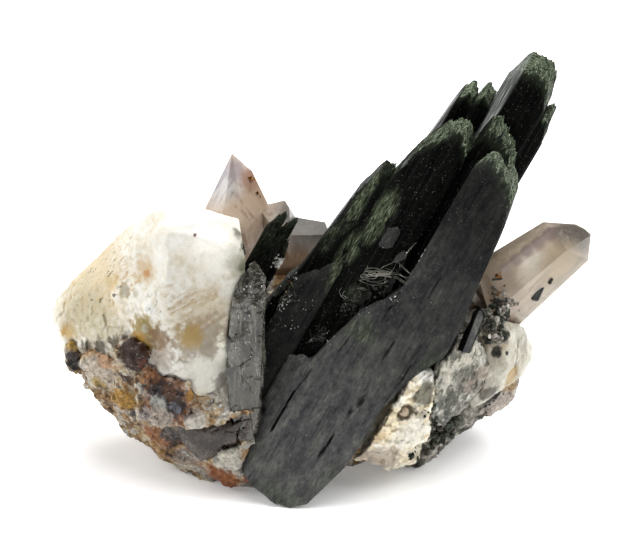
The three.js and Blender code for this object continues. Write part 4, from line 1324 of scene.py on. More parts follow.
MOTTLED_STAINS = [
    ((15.6, -9.2, 15.6), 3.2, (0.78, 0.75, 0.64), 0.9),
    ((15.0, -9.2, 11.8), 2.0, (0.72, 0.71, 0.66), 0.85),
    ((17.6, -8.8, 19.6), 4.4, (0.80, 0.755, 0.63), 0.95),
    ((19.2, -8.0, 16.2), 2.6, (0.15, 0.15, 0.12), 0.7),
    ((20.6, -6.8, 15.4), 2.4, (0.44, 0.35, 0.28), 0.7),
    ((17.2, -8.2, 12.8), 2.2, (0.12, 0.125, 0.10), 0.85),
    ((20.2, -7.2, 14.0), 1.6, (0.40, 0.33, 0.28), 0.8),
    ((18.6, -7.4, 10.6), 1.4, (0.36, 0.34, 0.30), 0.7),
    ((16.6, -7.4, 9.0), 2.2, (0.06, 0.06, 0.055), 0.85),
]
DOWN_BLADE = (0.35, 0.1, 0.93)
MOTTLED_STREAKS = [
    ((18, -8, 14), 12.0, DOWN_BLADE, (0.45, 1.3, 1.3), (0.49, 0.60),
     (0.12, 0.125, 0.10), 0.9),
    ((18, -8, 14), 12.0, DOWN_BLADE, (0.7, 2.0, 2.0), (0.57, 0.66),
     (0.76, 0.73, 0.64), 0.75),
]
MOTTLED = rock_material(
    "feldspar_mottled",
    [(0.25, (0.10, 0.10, 0.085)), (0.40, (0.24, 0.24, 0.20)), (0.52, (0.46, 0.43, 0.38)),
     (0.64, (0.66, 0.63, 0.55)), (0.8, (0.78, 0.76, 0.70))],
    MOTTLED_STAINS, MOTTLED_STREAKS, hollow_tint=(0.04, 0.038, 0.03), hollow_share=0.9,
    roughness=0.45, bump=0.35, mottle=0.2)
rough_piece("mottled_blade", "mottled_feldspar_blade", 0.15, bladed_relief, 0.5, MOTTLED)

# %% [markdown]
# ### The white lump
# A milky piece with soft broad facets. A little light that travels under its skin makes it look
# waxy, and small brown stains mark its edges.


# %% White lump
def waxy_relief(p):
    """Soft broad facets."""
    return 0.09 * broken(p, 3.0, 7.0) + 0.05 * broken(p, 0.9, 3.0) + 0.05 * grit(p, 0.8)


WHITE_STAINS = [
    ((23.2, -4.6, 20.0), 2.4, (0.44, 0.35, 0.22), 0.6),
    ((23.1, -5.5, 18.5), 1.0, (0.02, 0.018, 0.014), 1.0),
    ((24.5, -4.7, 17.9), 0.5, (0.03, 0.025, 0.02), 1.0),
    ((21.4, -5.2, 19.4), 1.2, (0.30, 0.22, 0.12), 0.6),
    ((25.4, -2.4, 13.2), 1.9, (0.52, 0.34, 0.12), 0.8),
    ((27.2, 0.6, 16.6), 1.3, (0.30, 0.28, 0.24), 0.6),
    ((22.4, -5.2, 12.2), 1.7, (0.09, 0.07, 0.055), 0.85),
    ((21.0, -5.4, 14.4), 1.8, (0.46, 0.40, 0.34), 0.6),
]
WHITE_STREAKS = [
    ((26.4, -1.0, 16.0), 4.0, (0.2, 0.4, 0.9), (0.35, 1.6, 1.6), (0.54, 0.64),
     (0.36, 0.33, 0.27), 0.7),
]
WHITE = rock_material(
    "feldspar_white",
    [(0.25, (0.44, 0.39, 0.30)), (0.42, (0.56, 0.53, 0.43)), (0.58, (0.68, 0.655, 0.56)),
     (0.8, (0.80, 0.78, 0.70))],
    WHITE_STAINS, WHITE_STREAKS, grain=0.6, patchy=0.25, hollow_tint=(0.40, 0.32, 0.24),
    roughness=0.45, bump=0.25, waxy=0.12, mottle=0.12)
rough_piece("white_lump", "right_feldspar", 0.16, waxy_relief, 0.6, WHITE)

# %% [markdown]
# ### The grey stone
# It breaks into the same lumps and grains as the rusty one. Its right end does not touch the
# table, so the underside is lifted there before the skin is carved.

# %% Grey stone
RIGHT_LIFT = 2.6


def lifted(place):
    """The stone's right end does not touch the table: its underside curves up."""
    share = smooth_step((place.x - 14.0) / 5) * smooth_step((9.0 - place.z) / 6)
    end = 1 - 0.45 * smooth_step((place.x - 19.5) / 4)
    return place + Vector((0, 0, RIGHT_LIFT * share * end))


def grey_stone_shape():
    """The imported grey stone, cut finer and lifted at its right end."""
    bm = node_shape("grey_matrix")
    bmesh.ops.subdivide_edges(bm, edges=bm.edges[:], cuts=2, use_grid_fill=True)
    for v in bm.verts:
        v.co = lifted(v.co)
    return bm


GREY_STAINS = [
    ((18.7, -2.5, 6.6), 1.6, (0.20, 0.215, 0.17), 0.85),
    ((24.6, 2.0, 6.2), 3.4, (0.66, 0.57, 0.50), 0.85),
    ((23.0, 0.6, 9.0), 1.8, (0.03, 0.026, 0.022), 0.9),
    ((20.3, -1.6, 8.0), 1.6, (0.44, 0.39, 0.33), 0.7),
    ((25.7, 2.6, 9.6), 1.6, (0.55, 0.37, 0.16), 0.8),
    ((21.0, 8.0, 14.0), 6.0, (0.54, 0.50, 0.43), 0.75),
    ((16.0, 9.0, 6.0), 6.0, (0.22, 0.20, 0.17), 0.7),
    ((16.0, 10.0, 20.0), 5.0, (0.60, 0.54, 0.45), 0.7),
    *SEAM_STAINS,
]
GREY_STREAKS = [
    ((22, 0, 6), 16.0, (1, 0, 0.4), (1.6, 2.2, 2.2), (0.56, 0.66), (0.045, 0.042, 0.036), 0.8),
]
GREY = rock_material(
    "matrix_grey",
    [(0.25, (0.07, 0.065, 0.055)), (0.38, (0.20, 0.19, 0.16)), (0.5, (0.42, 0.39, 0.34)),
     (0.64, (0.62, 0.58, 0.51)), (0.8, (0.72, 0.69, 0.62))],
    GREY_STAINS, GREY_STREAKS, grain=0.8, patchy=0.5, lines=0.3,
    hollow_tint=(0.05, 0.04, 0.03), hollow_share=0.75, roughness=0.5, bump=0.45, mottle=0.35)
rough_piece("grey_stone", "grey_matrix", 0.24, rusty_relief, 0.8, GREY,
            shape=grey_stone_shape())

# %% [markdown]
# ## Quartz
# A quartz crystal is clear, so its look is what shines through it. The points keep their flat
# faces, with edges just off sharp, and get glass with quartz's own index and a faint absorption.
# A remesh would round them, so each face is made whole by dissolving the lines across it.

# %% Clear quartz
FLAT = math.radians(1.5)
QUARTZ_SOFTNESS = 0.6
QUARTZ_BUMP = 0.05


def faceted_shape(node, bevel):
    """A packed crystal with whole flat faces and slightly worn edges."""
    bm = node_shape(node)
    bmesh.ops.dissolve_limit(bm, angle_limit=FLAT, verts=bm.verts, edges=bm.edges)
    bmesh.ops.bevel(bm, geom=bm.edges[:], offset=bevel, affect="EDGES", segments=2, profile=0.5,
                    material=-1, clamp_overlap=True)
    return bm


def quartz_material(name, tint, cloud, stains, streaks, depth, roughness, clear):
    """Clear quartz: tint, cloud and stains colour the surface, absorption the depth."""
    material, tree = new_material(name)
    place = millimetres_in(tree)
    wisps = noise_of(place, 0.5, 5.0, 0.65)
    fine = noise_of(place, 2.2, 5.0, 0.65)
    tear = times(minus(fine, 0.5), 0.3 * TEAR)
    colour = ramp_of(plus(times(wisps, 0.65), times(fine, 0.35)), (0.42, tint), (0.60, cloud))
    colour = stained(tree, colour, place, tear, stains, QUARTZ_SOFTNESS)
    colour = streaked(tree, colour, place, tear, streaks)
    surface_in(tree, colour, number_of("MULTIPLY_ADD", wisps, 0.25, roughness), depth,
               Normal=bump_of(fine, QUARTZ_BUMP, STONE_BUMP), IOR=QUARTZ_IOR,
               Transmission_Weight=clear)
    return material


print("quartz bends light by", QUARTZ_IOR)

# %% The two clear points
LEANING_AXIS = (0.76, 0.1, 0.64)
LEANING_STAINS_AND_PAINTED_LIGHT = [
    ((23.4, -0.75, 25.0), 5.0, (0.42, 0.36, 0.30), 0.8),
    # painted highlight: the next two bright patches on the middle face stand in for light shining
    # through
    ((28.2, -0.2, 28.6), 2.8, (1.0, 0.95, 0.85), 0.9),
    ((27.0, -0.6, 27.0), 1.8, (0.84, 0.76, 0.64), 0.7),
    # painted shade: the next five dark patches make a band of shade along the ridge
    ((30.0, 1.3, 32.3), 1.6, (0.25, 0.19, 0.20), 0.85),
    ((28.6, 0.9, 31.2), 1.4, (0.29, 0.23, 0.24), 0.85),
    ((27.1, 0.6, 30.2), 1.35, (0.32, 0.26, 0.27), 0.85),
    ((25.7, 0.3, 29.1), 1.3, (0.36, 0.30, 0.31), 0.8),
    ((24.3, 0.0, 28.1), 1.3, (0.46, 0.40, 0.40), 0.7),
    ((31.8, 1.4, 32.2), 2.4, (0.20, 0.15, 0.13), 0.85),
    ((32.0, 1.0, 30.6), 1.8, (0.36, 0.29, 0.23), 0.7),
    ((34.2, 2.4, 31.6), 4.6, (0.12, 0.105, 0.09), 0.95),
    ((31.6, 0.4, 27.6), 5.0, (0.44, 0.36, 0.24), 0.8),
    ((25.6, -0.6, 21.8), 2.4, (0.52, 0.40, 0.34), 0.6),
]
LEANING_STREAKS = [
    ((28.0, 0.0, 28.0), 11.0, LEANING_AXIS, (0.12, 1.0, 1.0), (0.52, 0.66),
     (0.40, 0.33, 0.27), 0.6),
]
REAR_STAINS_AND_PAINTED_REFLECTION = [
    # painted reflection: this pale grey patch makes the left part look silvery
    ((-13.6, 7.0, 36.8), 4.2, (0.84, 0.83, 0.84), 0.85),
    ((-11.4, 7.8, 38.6), 2.0, (0.40, 0.33, 0.36), 0.7),
    ((-10.8, 8.0, 36.6), 1.4, (0.50, 0.42, 0.42), 0.6),
    ((-9.0, 8.2, 37.0), 2.2, (0.32, 0.14, 0.08), 0.8),
    ((-8.4, 8.2, 34.8), 3.0, (0.42, 0.27, 0.18), 0.75),
    ((-9.6, 6.6, 32.6), 4.6, (0.50, 0.38, 0.27), 0.75),
    ((-3.6, 5.4, 26.6), 4.6, (0.20, 0.11, 0.05), 0.9),
    ((-1.6, 7.6, 31.6), 6.0, (0.16, 0.157, 0.148), 0.95),
]
REAR_STREAKS = [
    ((-13.4, 7.0, 37.0), 4.4, (0.5, 0, 0.87), (0.25, 1.7, 1.7), (0.50, 0.62),
     (0.45, 0.41, 0.45), 0.7),
    ((-7.6, 7.0, 34.6), 6.0, (-0.5, 0, 0.87), (0.6, 1.4, 1.4), (0.52, 0.64),
     (0.30, 0.19, 0.13), 0.6),
    ((-2.0, 6.0, 30.0), 5.0, (0.1, 0, 1), (0.4, 1.8, 1.8), (0.54, 0.66),
     (0.27, 0.24, 0.21), 0.6),
]
SMOKY = quartz_material("quartz_smoky", (0.70, 0.60, 0.47), (0.52, 0.43, 0.32), LEANING_STAINS_AND_PAINTED_LIGHT,
                        LEANING_STREAKS, ((0.60, 0.52, 0.44), 150.0), 0.03, 0.45)
REAR_SMOKY = quartz_material("quartz_rear", (0.76, 0.66, 0.57), (0.52, 0.40, 0.31), REAR_STAINS_AND_PAINTED_REFLECTION,
                             REAR_STREAKS, ((0.62, 0.52, 0.42), 60.0), 0.08, 0.3)
for name, node, material in (("leaning_point", "right_smoky_quartz", SMOKY),
                             ("rear_points", "rear_smoky_quartz", REAR_SMOKY)):
    finished(name, faceted_shape(node, 0.08), material, [node])

# %% [markdown]
# ### Cloudy quartz
# The grey column and the wedge under the ledge are crushed and cloudy, so they are carved like
# rock and let only a part of the light through.


# %% Grey column
def crushed_relief(p):
    """Long upright facets, with a crust over the top."""
    crust = smooth_step((p.z - 24.0) / 3)
    tall = Vector((p.x, p.y, p.z * 0.4))
    return 0.26 * broken(tall, 1.8, 3.0) + (0.03 + 0.2 * crust) * broken(p, 0.7, 5.0)


COLUMN_STAINS = [
    ((-9.0, -8.0, 30.5), 3.6, (0.075, 0.070, 0.055), 0.6),
    ((-10.6, -10.8, 15.4), 2.4, (0.38, 0.355, 0.28), 0.6),
    ((-9.4, -9.2, 26.6), 1.6, (0.55, 0.56, 0.52), 0.6),
    ((-9.4, -9.6, 25.6), 1.2, (0.045, 0.048, 0.040), 0.7),
    ((-9.6, -10.6, 17.4), 4.0, (0.26, 0.24, 0.19), 0.7),
    ((-9.2, -11.2, 13.4), 3.4, (0.22, 0.195, 0.155), 0.75),
    ((-11.4, -9.4, 24.6), 2.0, (0.46, 0.45, 0.40), 0.6),
    ((-11.2, -10.2, 20.6), 2.2, (0.44, 0.43, 0.37), 0.6),
]
COLUMN_STREAKS_AND_PAINTED_HIGHLIGHTS = [
    ((-9, -9, 22), 14.0, (0, 0, 1), (0.16, 1.5, 1.5), (0.47, 0.60), (0.055, 0.052, 0.040), 0.85),
    # painted highlights: the pale upright streaks and the bright marks near the top stand in for
    # glints
    ((-9, -9, 22), 14.0, (0, 0, 1), (0.18, 2.0, 2.0), (0.54, 0.66), (0.60, 0.58, 0.49), 0.8),
    ((-9, -9, 26), 9.0, (0, 0, 1), (2.0, 3.2, 3.2), (0.62, 0.68), (0.75, 0.76, 0.72), 0.8),
]
GREY_QUARTZ = rock_material(
    "quartz_grey",
    [(0.25, (0.065, 0.060, 0.046)), (0.42, (0.15, 0.138, 0.105)), (0.58, (0.26, 0.245, 0.195)),
     (0.8, (0.50, 0.48, 0.41))],
    COLUMN_STAINS, COLUMN_STREAKS_AND_PAINTED_HIGHLIGHTS, grain=0.6, patchy=0.25, hollow_tint=(0.04, 0.04, 0.032),
    roughness=0.12, bump=0.06, clear=0.55, depth=((0.60, 0.56, 0.48), 60.0), mottle=0.12,
    specular=0.5)
rough_piece("grey_column", "grey_quartz_column", 0.16, crushed_relief, 0.4, GREY_QUARTZ,
            30)


# %% Lower wedge
def worn_relief(p):
    """Low worn facets."""
    return 0.10 * broken(p, 2.2, 6.0) + 0.05 * broken(p, 0.8, 2.0)


WEDGE_STAINS = [
    ((-15.6, -11.2, 11.6), 1.3, (0.60, 0.57, 0.52), 0.8),
    ((-12.4, -11.9, 11.8), 1.1, (0.52, 0.50, 0.46), 0.7),
    ((-19.5, -9.4, 10.0), 1.8, (0.22, 0.09, 0.04), 0.8),
]
WEDGE = rock_material(
    "quartz_wedge",
    [(0.25, (0.050, 0.037, 0.030)), (0.45, (0.095, 0.074, 0.060)), (0.62, (0.16, 0.13, 0.11)),
     (0.8, (0.28, 0.24, 0.21))],
    WEDGE_STAINS, grain=0.5, patchy=0.3, hollow_tint=(0.05, 0.03, 0.02), hollow_share=0.6,
    roughness=0.25, bump=0.25, clear=0.35, depth=((0.5, 0.42, 0.36), 60.0), mottle=0.3)
rough_piece("lower_wedge", "lower_smoky_quartz", 0.16, worn_relief, 0.4, WEDGE, 30)

# %% [markdown]
# ## Small aegirine
# The sprig beside the bundle, the short prism and the dark stubs are the same mineral in small.
# The sprig is three little blades. The prism is a clean bar, polished on the side that looks out.

# %% Sprig
MOSS_SPRIG = [(-8.0, 3.0, 1.6, 4.0, 0.12)]
SPRIG = [
    ([(-9.5, -6.5, 4.8, 4.2), (-8.8, -6.5, 6.2, 4.6), (-7.8, -6.5, 6.9, 4.3)], 2.2),
    ([(-8.0, -6.0, 4.6, 4.0), (-7.2, -6.0, 6.2, 4.1), (-6.3, -6.0, 6.8, 3.9)], 1.6),
    ([(-6.5, -5.0, 3.4, 3.2), (-5.5, -5.0, 2.0, 3.4)], 1.4),
]
sprig = joined(*[
    blade(columns, back, 50.0 + index, fray=0.9, fray_zone=1.4, pinch=0.4, reed=1.4, powder=0.55,
          moss=MOSS_SPRIG)
    for index, (columns, back) in enumerate(SPRIG)])
finished("sprig", sprig, AEGIRINE, ["aegirine_sprig"])


# %% Short prism
def facing_dull(bm, way, least):
    """Dulls only the faces that look along a direction, as one polished side of a prism."""
    dull = bm.faces.layers.float.new("dull")
    grain = bm.verts.layers.float_vector.new("grain")
    bm.normal_update()
    for v in bm.verts:
        v[grain] = v.co
    for face in bm.faces:
        face[dull] = 1.0 if face.normal.dot(way) > least else 0.0
    return bm


prism = facing_dull(faceted_shape("small_aegirine_prism", 0.05), N, 0.8)
finished("short_prism", prism, AEGIRINE, ["small_aegirine_prism"], crease=15)

# %% [markdown]
# ### Crumbled stubs
# The stubs under the leaning point and the knobs along the lower edge are heaps of crumbs, so
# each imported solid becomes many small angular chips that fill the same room, some dark and some
# grey.


# %% Angular chips
CHIP_WIDTHS = (0.8, 1.25)
CHIP_DEPTHS = (0.8, 1.1)
FULL_TURN = 3


def as_aegirine(bm, dullness, mossiness=0.0):
    """Adds the values that the aegirine material reads to a shape without any."""
    grain = bm.verts.layers.float_vector.new("grain")
    dull = bm.verts.layers.float.new("dull")
    moss = bm.verts.layers.float.new("moss")
    for v in bm.verts:
        v[grain] = v.co
        v[dull] = dullness
        v[moss] = mossiness
    return bm


def chip(place, size, dice, squash=0.75, corners=14):
    """An angular crumb of crystal: the tight hull of a few points round a stretched ball."""
    bm = bmesh.new()
    stretch = Vector((dice.uniform(*CHIP_WIDTHS), dice.uniform(*CHIP_DEPTHS), squash))
    for _ in range(corners):
        way = Vector([dice.gauss(0, 1) for _ in range(3)]).normalized()
        bmesh.ops.create_vert(bm, co=[w * k * size for w, k in zip(way, stretch)])
    hull = bmesh.ops.convex_hull(bm, input=bm.verts)
    bmesh.ops.delete(bm, geom=hull["geom_interior"] + hull["geom_unused"], context="VERTS")
    turn = Vector([dice.uniform(-FULL_TURN, FULL_TURN) for _ in range(3)])
    bmesh.ops.rotate(bm, matrix=Matrix.Rotation(turn.length, 3, turn.normalized()), verts=bm.verts)
    bmesh.ops.translate(bm, vec=Vector(place), verts=bm.verts)
    return bm


print("chips are", CHIP_WIDTHS, "wide and", CHIP_DEPTHS, "deep for their size")

# %% Stubs and knobs
CRUMB_REACH = 0.85
CRUMB_SIZES = (0.10, 0.32)


def crumbled(node, seed, count):
    """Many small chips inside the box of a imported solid."""
    dice = random.Random(seed)
    bm = node_shape(node)
    low = Vector([min(v.co[k] for v in bm.verts) for k in range(3)])
    high = Vector([max(v.co[k] for v in bm.verts) for k in range(3)])
    bm.free()
    centre, half = (low + high) / 2, (high - low) / 2
    chips = []
    for _ in range(count):
        offset = Vector([h * dice.uniform(-CRUMB_REACH, CRUMB_REACH) for h in half])
        size = min(half) * dice.uniform(*CRUMB_SIZES)
        chips.append(chip(lifted(centre + offset), size, dice))
    return joined(*chips)


for name, node, seed, dark, grey in (("stubs", "small_aegirine_cluster", 5, 42, 44),
                                     ("knobs", "aegirine_knobs", 8, 46, 34)):
    finished("dark_" + name, as_aegirine(crumbled(node, seed, dark), 0.45, 0.4), AEGIRINE,
             [node], crease=15)
    finished("grey_" + name, crumbled(node, seed + 1, grey), GREY, [node], crease=15)

# %% [markdown]
# ## Crumbs, splinters and threads
# Loose matter sits where blades meet: white sugary grains, dark grains, grey nodules, black
# splinters and pale hair-thin fibres. Each kind is one joined piece. Grains are dropped near a
# place and settle on the nearest skin, half sunk, so none of them floats.


# %% Settled grains
GRAIN_SIZES = (0.45, 1.15)
GRAIN_SPREAD = 0.5
GRAIN_PERCH = 0.25


def nearest_skin(place, names):
    """The closest spot on some finished pieces, its normal and how far it is."""
    found = [SKINS[name].find_nearest(place) for name in names]
    spot, normal, _, far = min(found, key=lambda hit: hit[3])
    return spot, normal, far


def settled(spots, names, seed, squash=0.8, corners=10):
    """Chips that settle on the nearest of the given pieces, round each spot."""
    dice = random.Random(seed)
    chips = []
    for centre, spread, count, size in spots:
        for _ in range(count):
            offset = Vector([dice.gauss(0, GRAIN_SPREAD) for _ in range(3)]) * spread
            spot, normal, _ = nearest_skin(Vector(centre) + offset, names)
            grown = size * dice.uniform(*GRAIN_SIZES)
            chips.append(chip(spot + normal * GRAIN_PERCH * grown, grown, dice, squash, corners))
    return joined(*chips)


print("pieces that grains may settle on:", len(SKINS))

# %% White grains
SUGAR_SHADES = ((0.35, (0.42, 0.42, 0.38)), (0.6, (0.84, 0.84, 0.80)))
BLADES = ["front_plate", "glossy_blades", "left_ridge", "middle_blades"]
ON_BLADES = [
    # place, spread, count, size
    (from_blades(9.5, 7.4, 4.2), 0.6, 22, 0.15), (from_blades(9.0, 6.8, 10.8), 0.7, 16, 0.15),
    (from_blades(5.3, 5.8, -4.8), 1.1, 16, 0.14), (from_blades(0.2, 4.4, -6.2), 1.0, 12, 0.14),
    (from_blades(5.6, 6.4, 1.2), 1.6, 12, 0.13), (from_blades(-3.4, 2.8, -1.4), 1.4, 18, 0.16),
    (from_blades(-4.6, 2.4, -4.0), 1.2, 14, 0.15), (from_blades(-2.9, 3.9, -3.7), 1.6, 34, 0.20),
    (from_blades(-2.6, 3.2, -4.6), 1.2, 14, 0.15),
    (from_blades(0.0, 4.6, -2.0), 1.6, 7, 0.11), (from_blades(16.6, 8.0, -3.0), 1.0, 6, 0.09),
    (from_blades(7.0, 8.2, -8.0), 6.0, 16, 0.07), (from_blades(11.0, 8.2, 6.0), 7.0, 20, 0.07),
]
ON_STONES = [
    ((-8.5, -8.0, 29.6), 1.8, 8, 0.12), ((-9.0, -8.8, 26.4), 1.8, 9, 0.14),
    ((-8.2, -7.2, 25.0), 1.6, 5, 0.12), ((-9.2, -10.4, 20.6), 3.6, 6, 0.11),
    ((-12.1, -11.4, 12.8), 0.8, 12, 0.26), ((-13.4, -10.6, 13.8), 1.2, 8, 0.2),
    ((-5.0, -1.7, 29.4), 0.9, 60, 0.26), ((-6.4, -4.6, 26.8), 1.2, 18, 0.2),
    ((23.4, -4.4, 23.4), 2.4, 44, 0.22), ((-17.2, -8.9, 4.8), 0.7, 6, 0.3),
    ((19.8, -7.8, 22.8), 1.4, 14, 0.16),
]
WHITE_GRAIN_STONES = ["grey_column", "rusty_stone", "lower_wedge", "sprig", "mottled_blade",
                      "leaning_point", "white_lump"]

SUGAR, tree = new_material("quartz_sugar")
sugar_tint = ramp_of(noise_of(millimetres_in(tree), 3.1), *SUGAR_SHADES)
surface_in(tree, sugar_tint, 0.3, IOR=QUARTZ_IOR, Transmission_Weight=0.25)
white_grains = joined(settled(ON_BLADES, BLADES, 3), settled(ON_STONES, WHITE_GRAIN_STONES, 4))
finished("white_grains", white_grains, SUGAR, [], crease=10)

# %% Dark grains
DARK_SPOTS = [
    (from_blades(5.0, 5.8, 0.4), 1.8, 40, 0.34), (from_blades(7.6, 6.2, 3.6), 1.6, 34, 0.32),
    (from_blades(3.2, 5.6, -5.4), 1.2, 22, 0.30), (from_blades(9.2, 6.8, 8.2), 0.9, 12, 0.26),
    (from_blades(-3.6, 2.6, -3.0), 1.5, 30, 0.30), (from_blades(-4.6, 2.2, -6.0), 1.0, 16, 0.26),
    ((22.4, -5.8, 22.4), 1.8, 34, 0.22), ((20.9, -6.4, 21.4), 1.0, 12, 0.20),
    ((-10.0, -5.4, 33.0), 1.2, 12, 0.22), ((14.4, -9.4, 12.2), 0.9, 18, 0.26),
    ((14.9, -8.8, 9.8), 1.1, 26, 0.28), ((15.2, -8.6, 14.6), 0.8, 8, 0.20),
    ((12.4, -8.6, 4.6), 1.0, 12, 0.42), ((24.0, -2.0, 23.4), 2.0, 22, 0.22),
    (from_blades(-3.0, 3.9, -3.6), 1.7, 40, 0.34), (from_blades(-2.2, 4.0, -6.6), 1.6, 20, 0.28),
    ((18.6, -3.4, 7.6), 2.6, 14, 0.24),
    ((22.0, 0.4, 8.6), 2.0, 22, 0.24),
]
DARK_GRAIN_STONES = ["feldspar", "white_lump", "mottled_blade", "grey_column", "cream_lump",
                     "leaning_point", "sprig", "grey_stone"]
dark_grains = as_aegirine(settled(DARK_SPOTS, BLADES + DARK_GRAIN_STONES, 6), 0.45, 0.4)
finished("dark_grains", dark_grains, AEGIRINE, [], crease=10)

# %% Grey nodules
NODULE_SPOTS = [
    ((18.7, -2.6, 6.6), 0.5, 4, 1.0), ((17.0, -3.4, 5.0), 0.8, 5, 0.8),
    ((20.6, -1.6, 8.2), 0.8, 5, 0.7), ((16.2, -5.4, 8.2), 1.0, 6, 0.7),
    ((22.6, -0.4, 9.4), 0.9, 5, 0.6), ((18.8, -4.0, 10.2), 1.0, 5, 0.6),
    ((23.6, -2.4, 23.4), 2.2, 90, 0.34), ((22.2, -4.4, 22.6), 1.6, 50, 0.30),
]
NODULE_STONES = ["grey_stone", "mottled_blade", "leaning_point", "white_lump"]
finished("grey_nodules", settled(NODULE_SPOTS, NODULE_STONES, 9, corners=20), GREY,
         [], crease=12)

# %% [markdown]
# ### Splinters
# Broken needles of aegirine lie among the blades and mostly lean the way that they do. A particle
# system could scatter them, but a short loop can also bring each one down onto a blade.

# %% Splinters
SPLINTER_ZONES = [
    # middle (across, out, along), spread, lean from the blades, count, length, thickness
    ((5.6, 6.0, 1.4), (1.6, 0.4, 1.8), 0.5, 26, 2.6, 0.16),
    ((8.3, 6.4, 6.2), (0.5, 0.3, 2.2), 0.22, 18, 2.8, 0.14),
    ((3.4, 5.6, -5.4), (0.8, 0.4, 1.4), 0.4, 14, 1.8, 0.13),
    ((-2.6, 3.0, -2.0), (1.0, 0.4, 2.4), 0.35, 16, 2.0, 0.13),
    ((-1.9, 2.9, 10.0), (0.5, 0.3, 4.0), 0.12, 16, 3.4, 0.12),
    ((10.9, 4.6, 28.4), (1.8, 0.5, 1.0), 0.25, 14, 1.8, 0.14),
    ((4.6, 5.0, 26.2), (1.8, 0.4, 1.0), 0.22, 12, 1.6, 0.13),
]


def laid(place, loft):
    """The same place, brought down to lie no more than a loft above the nearest blade."""
    spot, normal, far = nearest_skin(place, BLADES)
    out = (place - spot).dot(normal)
    return place if 0 <= out and far <= loft else spot + normal * min(max(out, 0.0), loft)


def splinters(zones, seed):
    """Thin tapered needles that lean about the blades."""
    dice = random.Random(seed)
    needles = []
    for middle, spread, lean, count, length, thick in zones:
        for _ in range(count):
            bm = bmesh.new()
            long = length * dice.uniform(0.5, 1.2)
            wide = thick * dice.uniform(0.6, 1.3)
            bmesh.ops.create_cone(bm, cap_ends=True, segments=5, radius1=wide, radius2=wide * 0.2,
                                  depth=long)
            bmesh.ops.scale(bm, vec=(1, dice.uniform(0.4, 1), 1), verts=bm.verts)
            way = (D + S * dice.gauss(0, lean) + N * dice.gauss(0, 0.12)).normalized()
            turned = way.to_track_quat("Z", "X").to_matrix()
            bmesh.ops.rotate(bm, matrix=turned, verts=bm.verts)
            place = [m + dice.gauss(0, 0.5) * k for m, k in zip(middle, spread)]
            bmesh.ops.translate(bm, vec=laid(from_blades(*place), 0.5 * thick), verts=bm.verts)
            needles.append(bm)
    return joined(*needles)


finished("splinters", as_aegirine(splinters(SPLINTER_ZONES, 12), 0.25), AEGIRINE, [],
         crease=20)

# %% [markdown]
# ### Threads
# A nest of pale fibres, as thin as hair, is caught between two blades. A bevelled curve could
# make each one. A small ring that is extruded from point to point gives the same tube as a plain
# closed mesh with few faces. Its points are first laid on the blades.

# %% One thread
THREAD_RADIUS = 0.03
THREAD_LOFT = 0.45


def thread(path):
    """A hair-thin fibre along a path, made by extruding a small ring from point to point."""
    path = [laid(place, THREAD_LOFT) for place in path]
    path = path[:1] + [(a + b * 2 + c) / 4 for a, b, c in zip(path, path[1:], path[2:])] + path[-1:]
    bm = bmesh.new()
    bmesh.ops.create_circle(bm, segments=4, radius=THREAD_RADIUS)
    facing = (path[1] - path[0]).to_track_quat("Z", "X").to_matrix()
    bmesh.ops.rotate(bm, matrix=facing, verts=bm.verts)
    bmesh.ops.translate(bm, vec=path[0], verts=bm.verts)
    ring = bm.edges[:]
    for before, here, after in zip(path, path[1:], path[2:] + path[-1:]):
        grown = bmesh.ops.extrude_edge_only(bm, edges=ring)["geom"]
        moved = [g for g in grown if isinstance(g, bmesh.types.BMVert)]
        ring = [g for g in grown if isinstance(g, bmesh.types.BMEdge)
                and all(v in moved for v in g.verts)]
        bmesh.ops.translate(bm, vec=here - before, verts=moved)
        if after != here:
            turn = (here - before).rotation_difference(after - here).to_matrix()
            bmesh.ops.rotate(bm, cent=here, matrix=turn, verts=moved)
    bmesh.ops.holes_fill(bm, edges=bm.edges, sides=4)
    return bm


print("threads are", 2 * THREAD_RADIUS, "mm thick")

# %% Paths of the threads
THREAD_STEPS = 18
NEST_LONG = Vector((0.863, 0.0, 0.505))
NEST_SHORT = Vector((-0.489, 0.0, 0.872))


def wandering(shape, seed, wander=0.35):
    """Points along shape(share), with a slow wander of their own."""
    shares = [step / THREAD_STEPS for step in range(THREAD_STEPS + 1)]
    return [shape(share) + wander * noise.noise_vector(Vector((seed, share * 2.1, 0)))
            for share in shares]


def loop(dice, centre, spread, sizes):
    """A thread along part of a flat oval, near a centre."""
    middle = centre + NEST_LONG * dice.uniform(-1, 1) * spread
    middle += NEST_SHORT * dice.uniform(-0.5, 0.5) * spread
    long = dice.uniform(*sizes)
    short = long * dice.uniform(0.2, 0.45)
    start, sweep = dice.uniform(0, 360), dice.uniform(120, 300)

    def at(share):
        """The place that lies this share of the way along the oval."""
        angle = math.radians(start + sweep * share)
        across = NEST_LONG * long * math.cos(angle) + NEST_SHORT * short * math.sin(angle)
        return from_blades(*(middle + across))

    return thread(wandering(at, start))


print("a thread has", THREAD_STEPS, "steps")

# %% Lay the threads
NEST = Vector((6.3, 6.9, 5.9))
NEST_LOOPS = 13
LENS = Vector((4.75, 6.0, 1.9))
LENS_LOOPS = 4
STRAIGHT_THREADS = [
    # one end and the other (across, out, along), spread of the ends, wander, count
    ((8.1, 6.6, 8.0), (8.1, 6.6, 11.2), (0.12, 0.0, 0.3), 0.08, 2),
    ((8.6, 6.8, 8.6), (8.6, 6.8, 11.6), (0.1, 0.0, 0.3), 0.08, 1),
    ((3.9, 6.2, 4.2), (8.2, 7.2, 6.7), (0.5, 0.3, 0.8), 0.35, 3),
    ((2.8, 6.0, -6.4), (4.4, 6.0, -4.6), (0.6, 0.4, 0.8), 0.35, 4),
]
FIBRE_SHADES = ((0.4, (0.06, 0.06, 0.05)), (0.62, (0.34, 0.33, 0.28)))

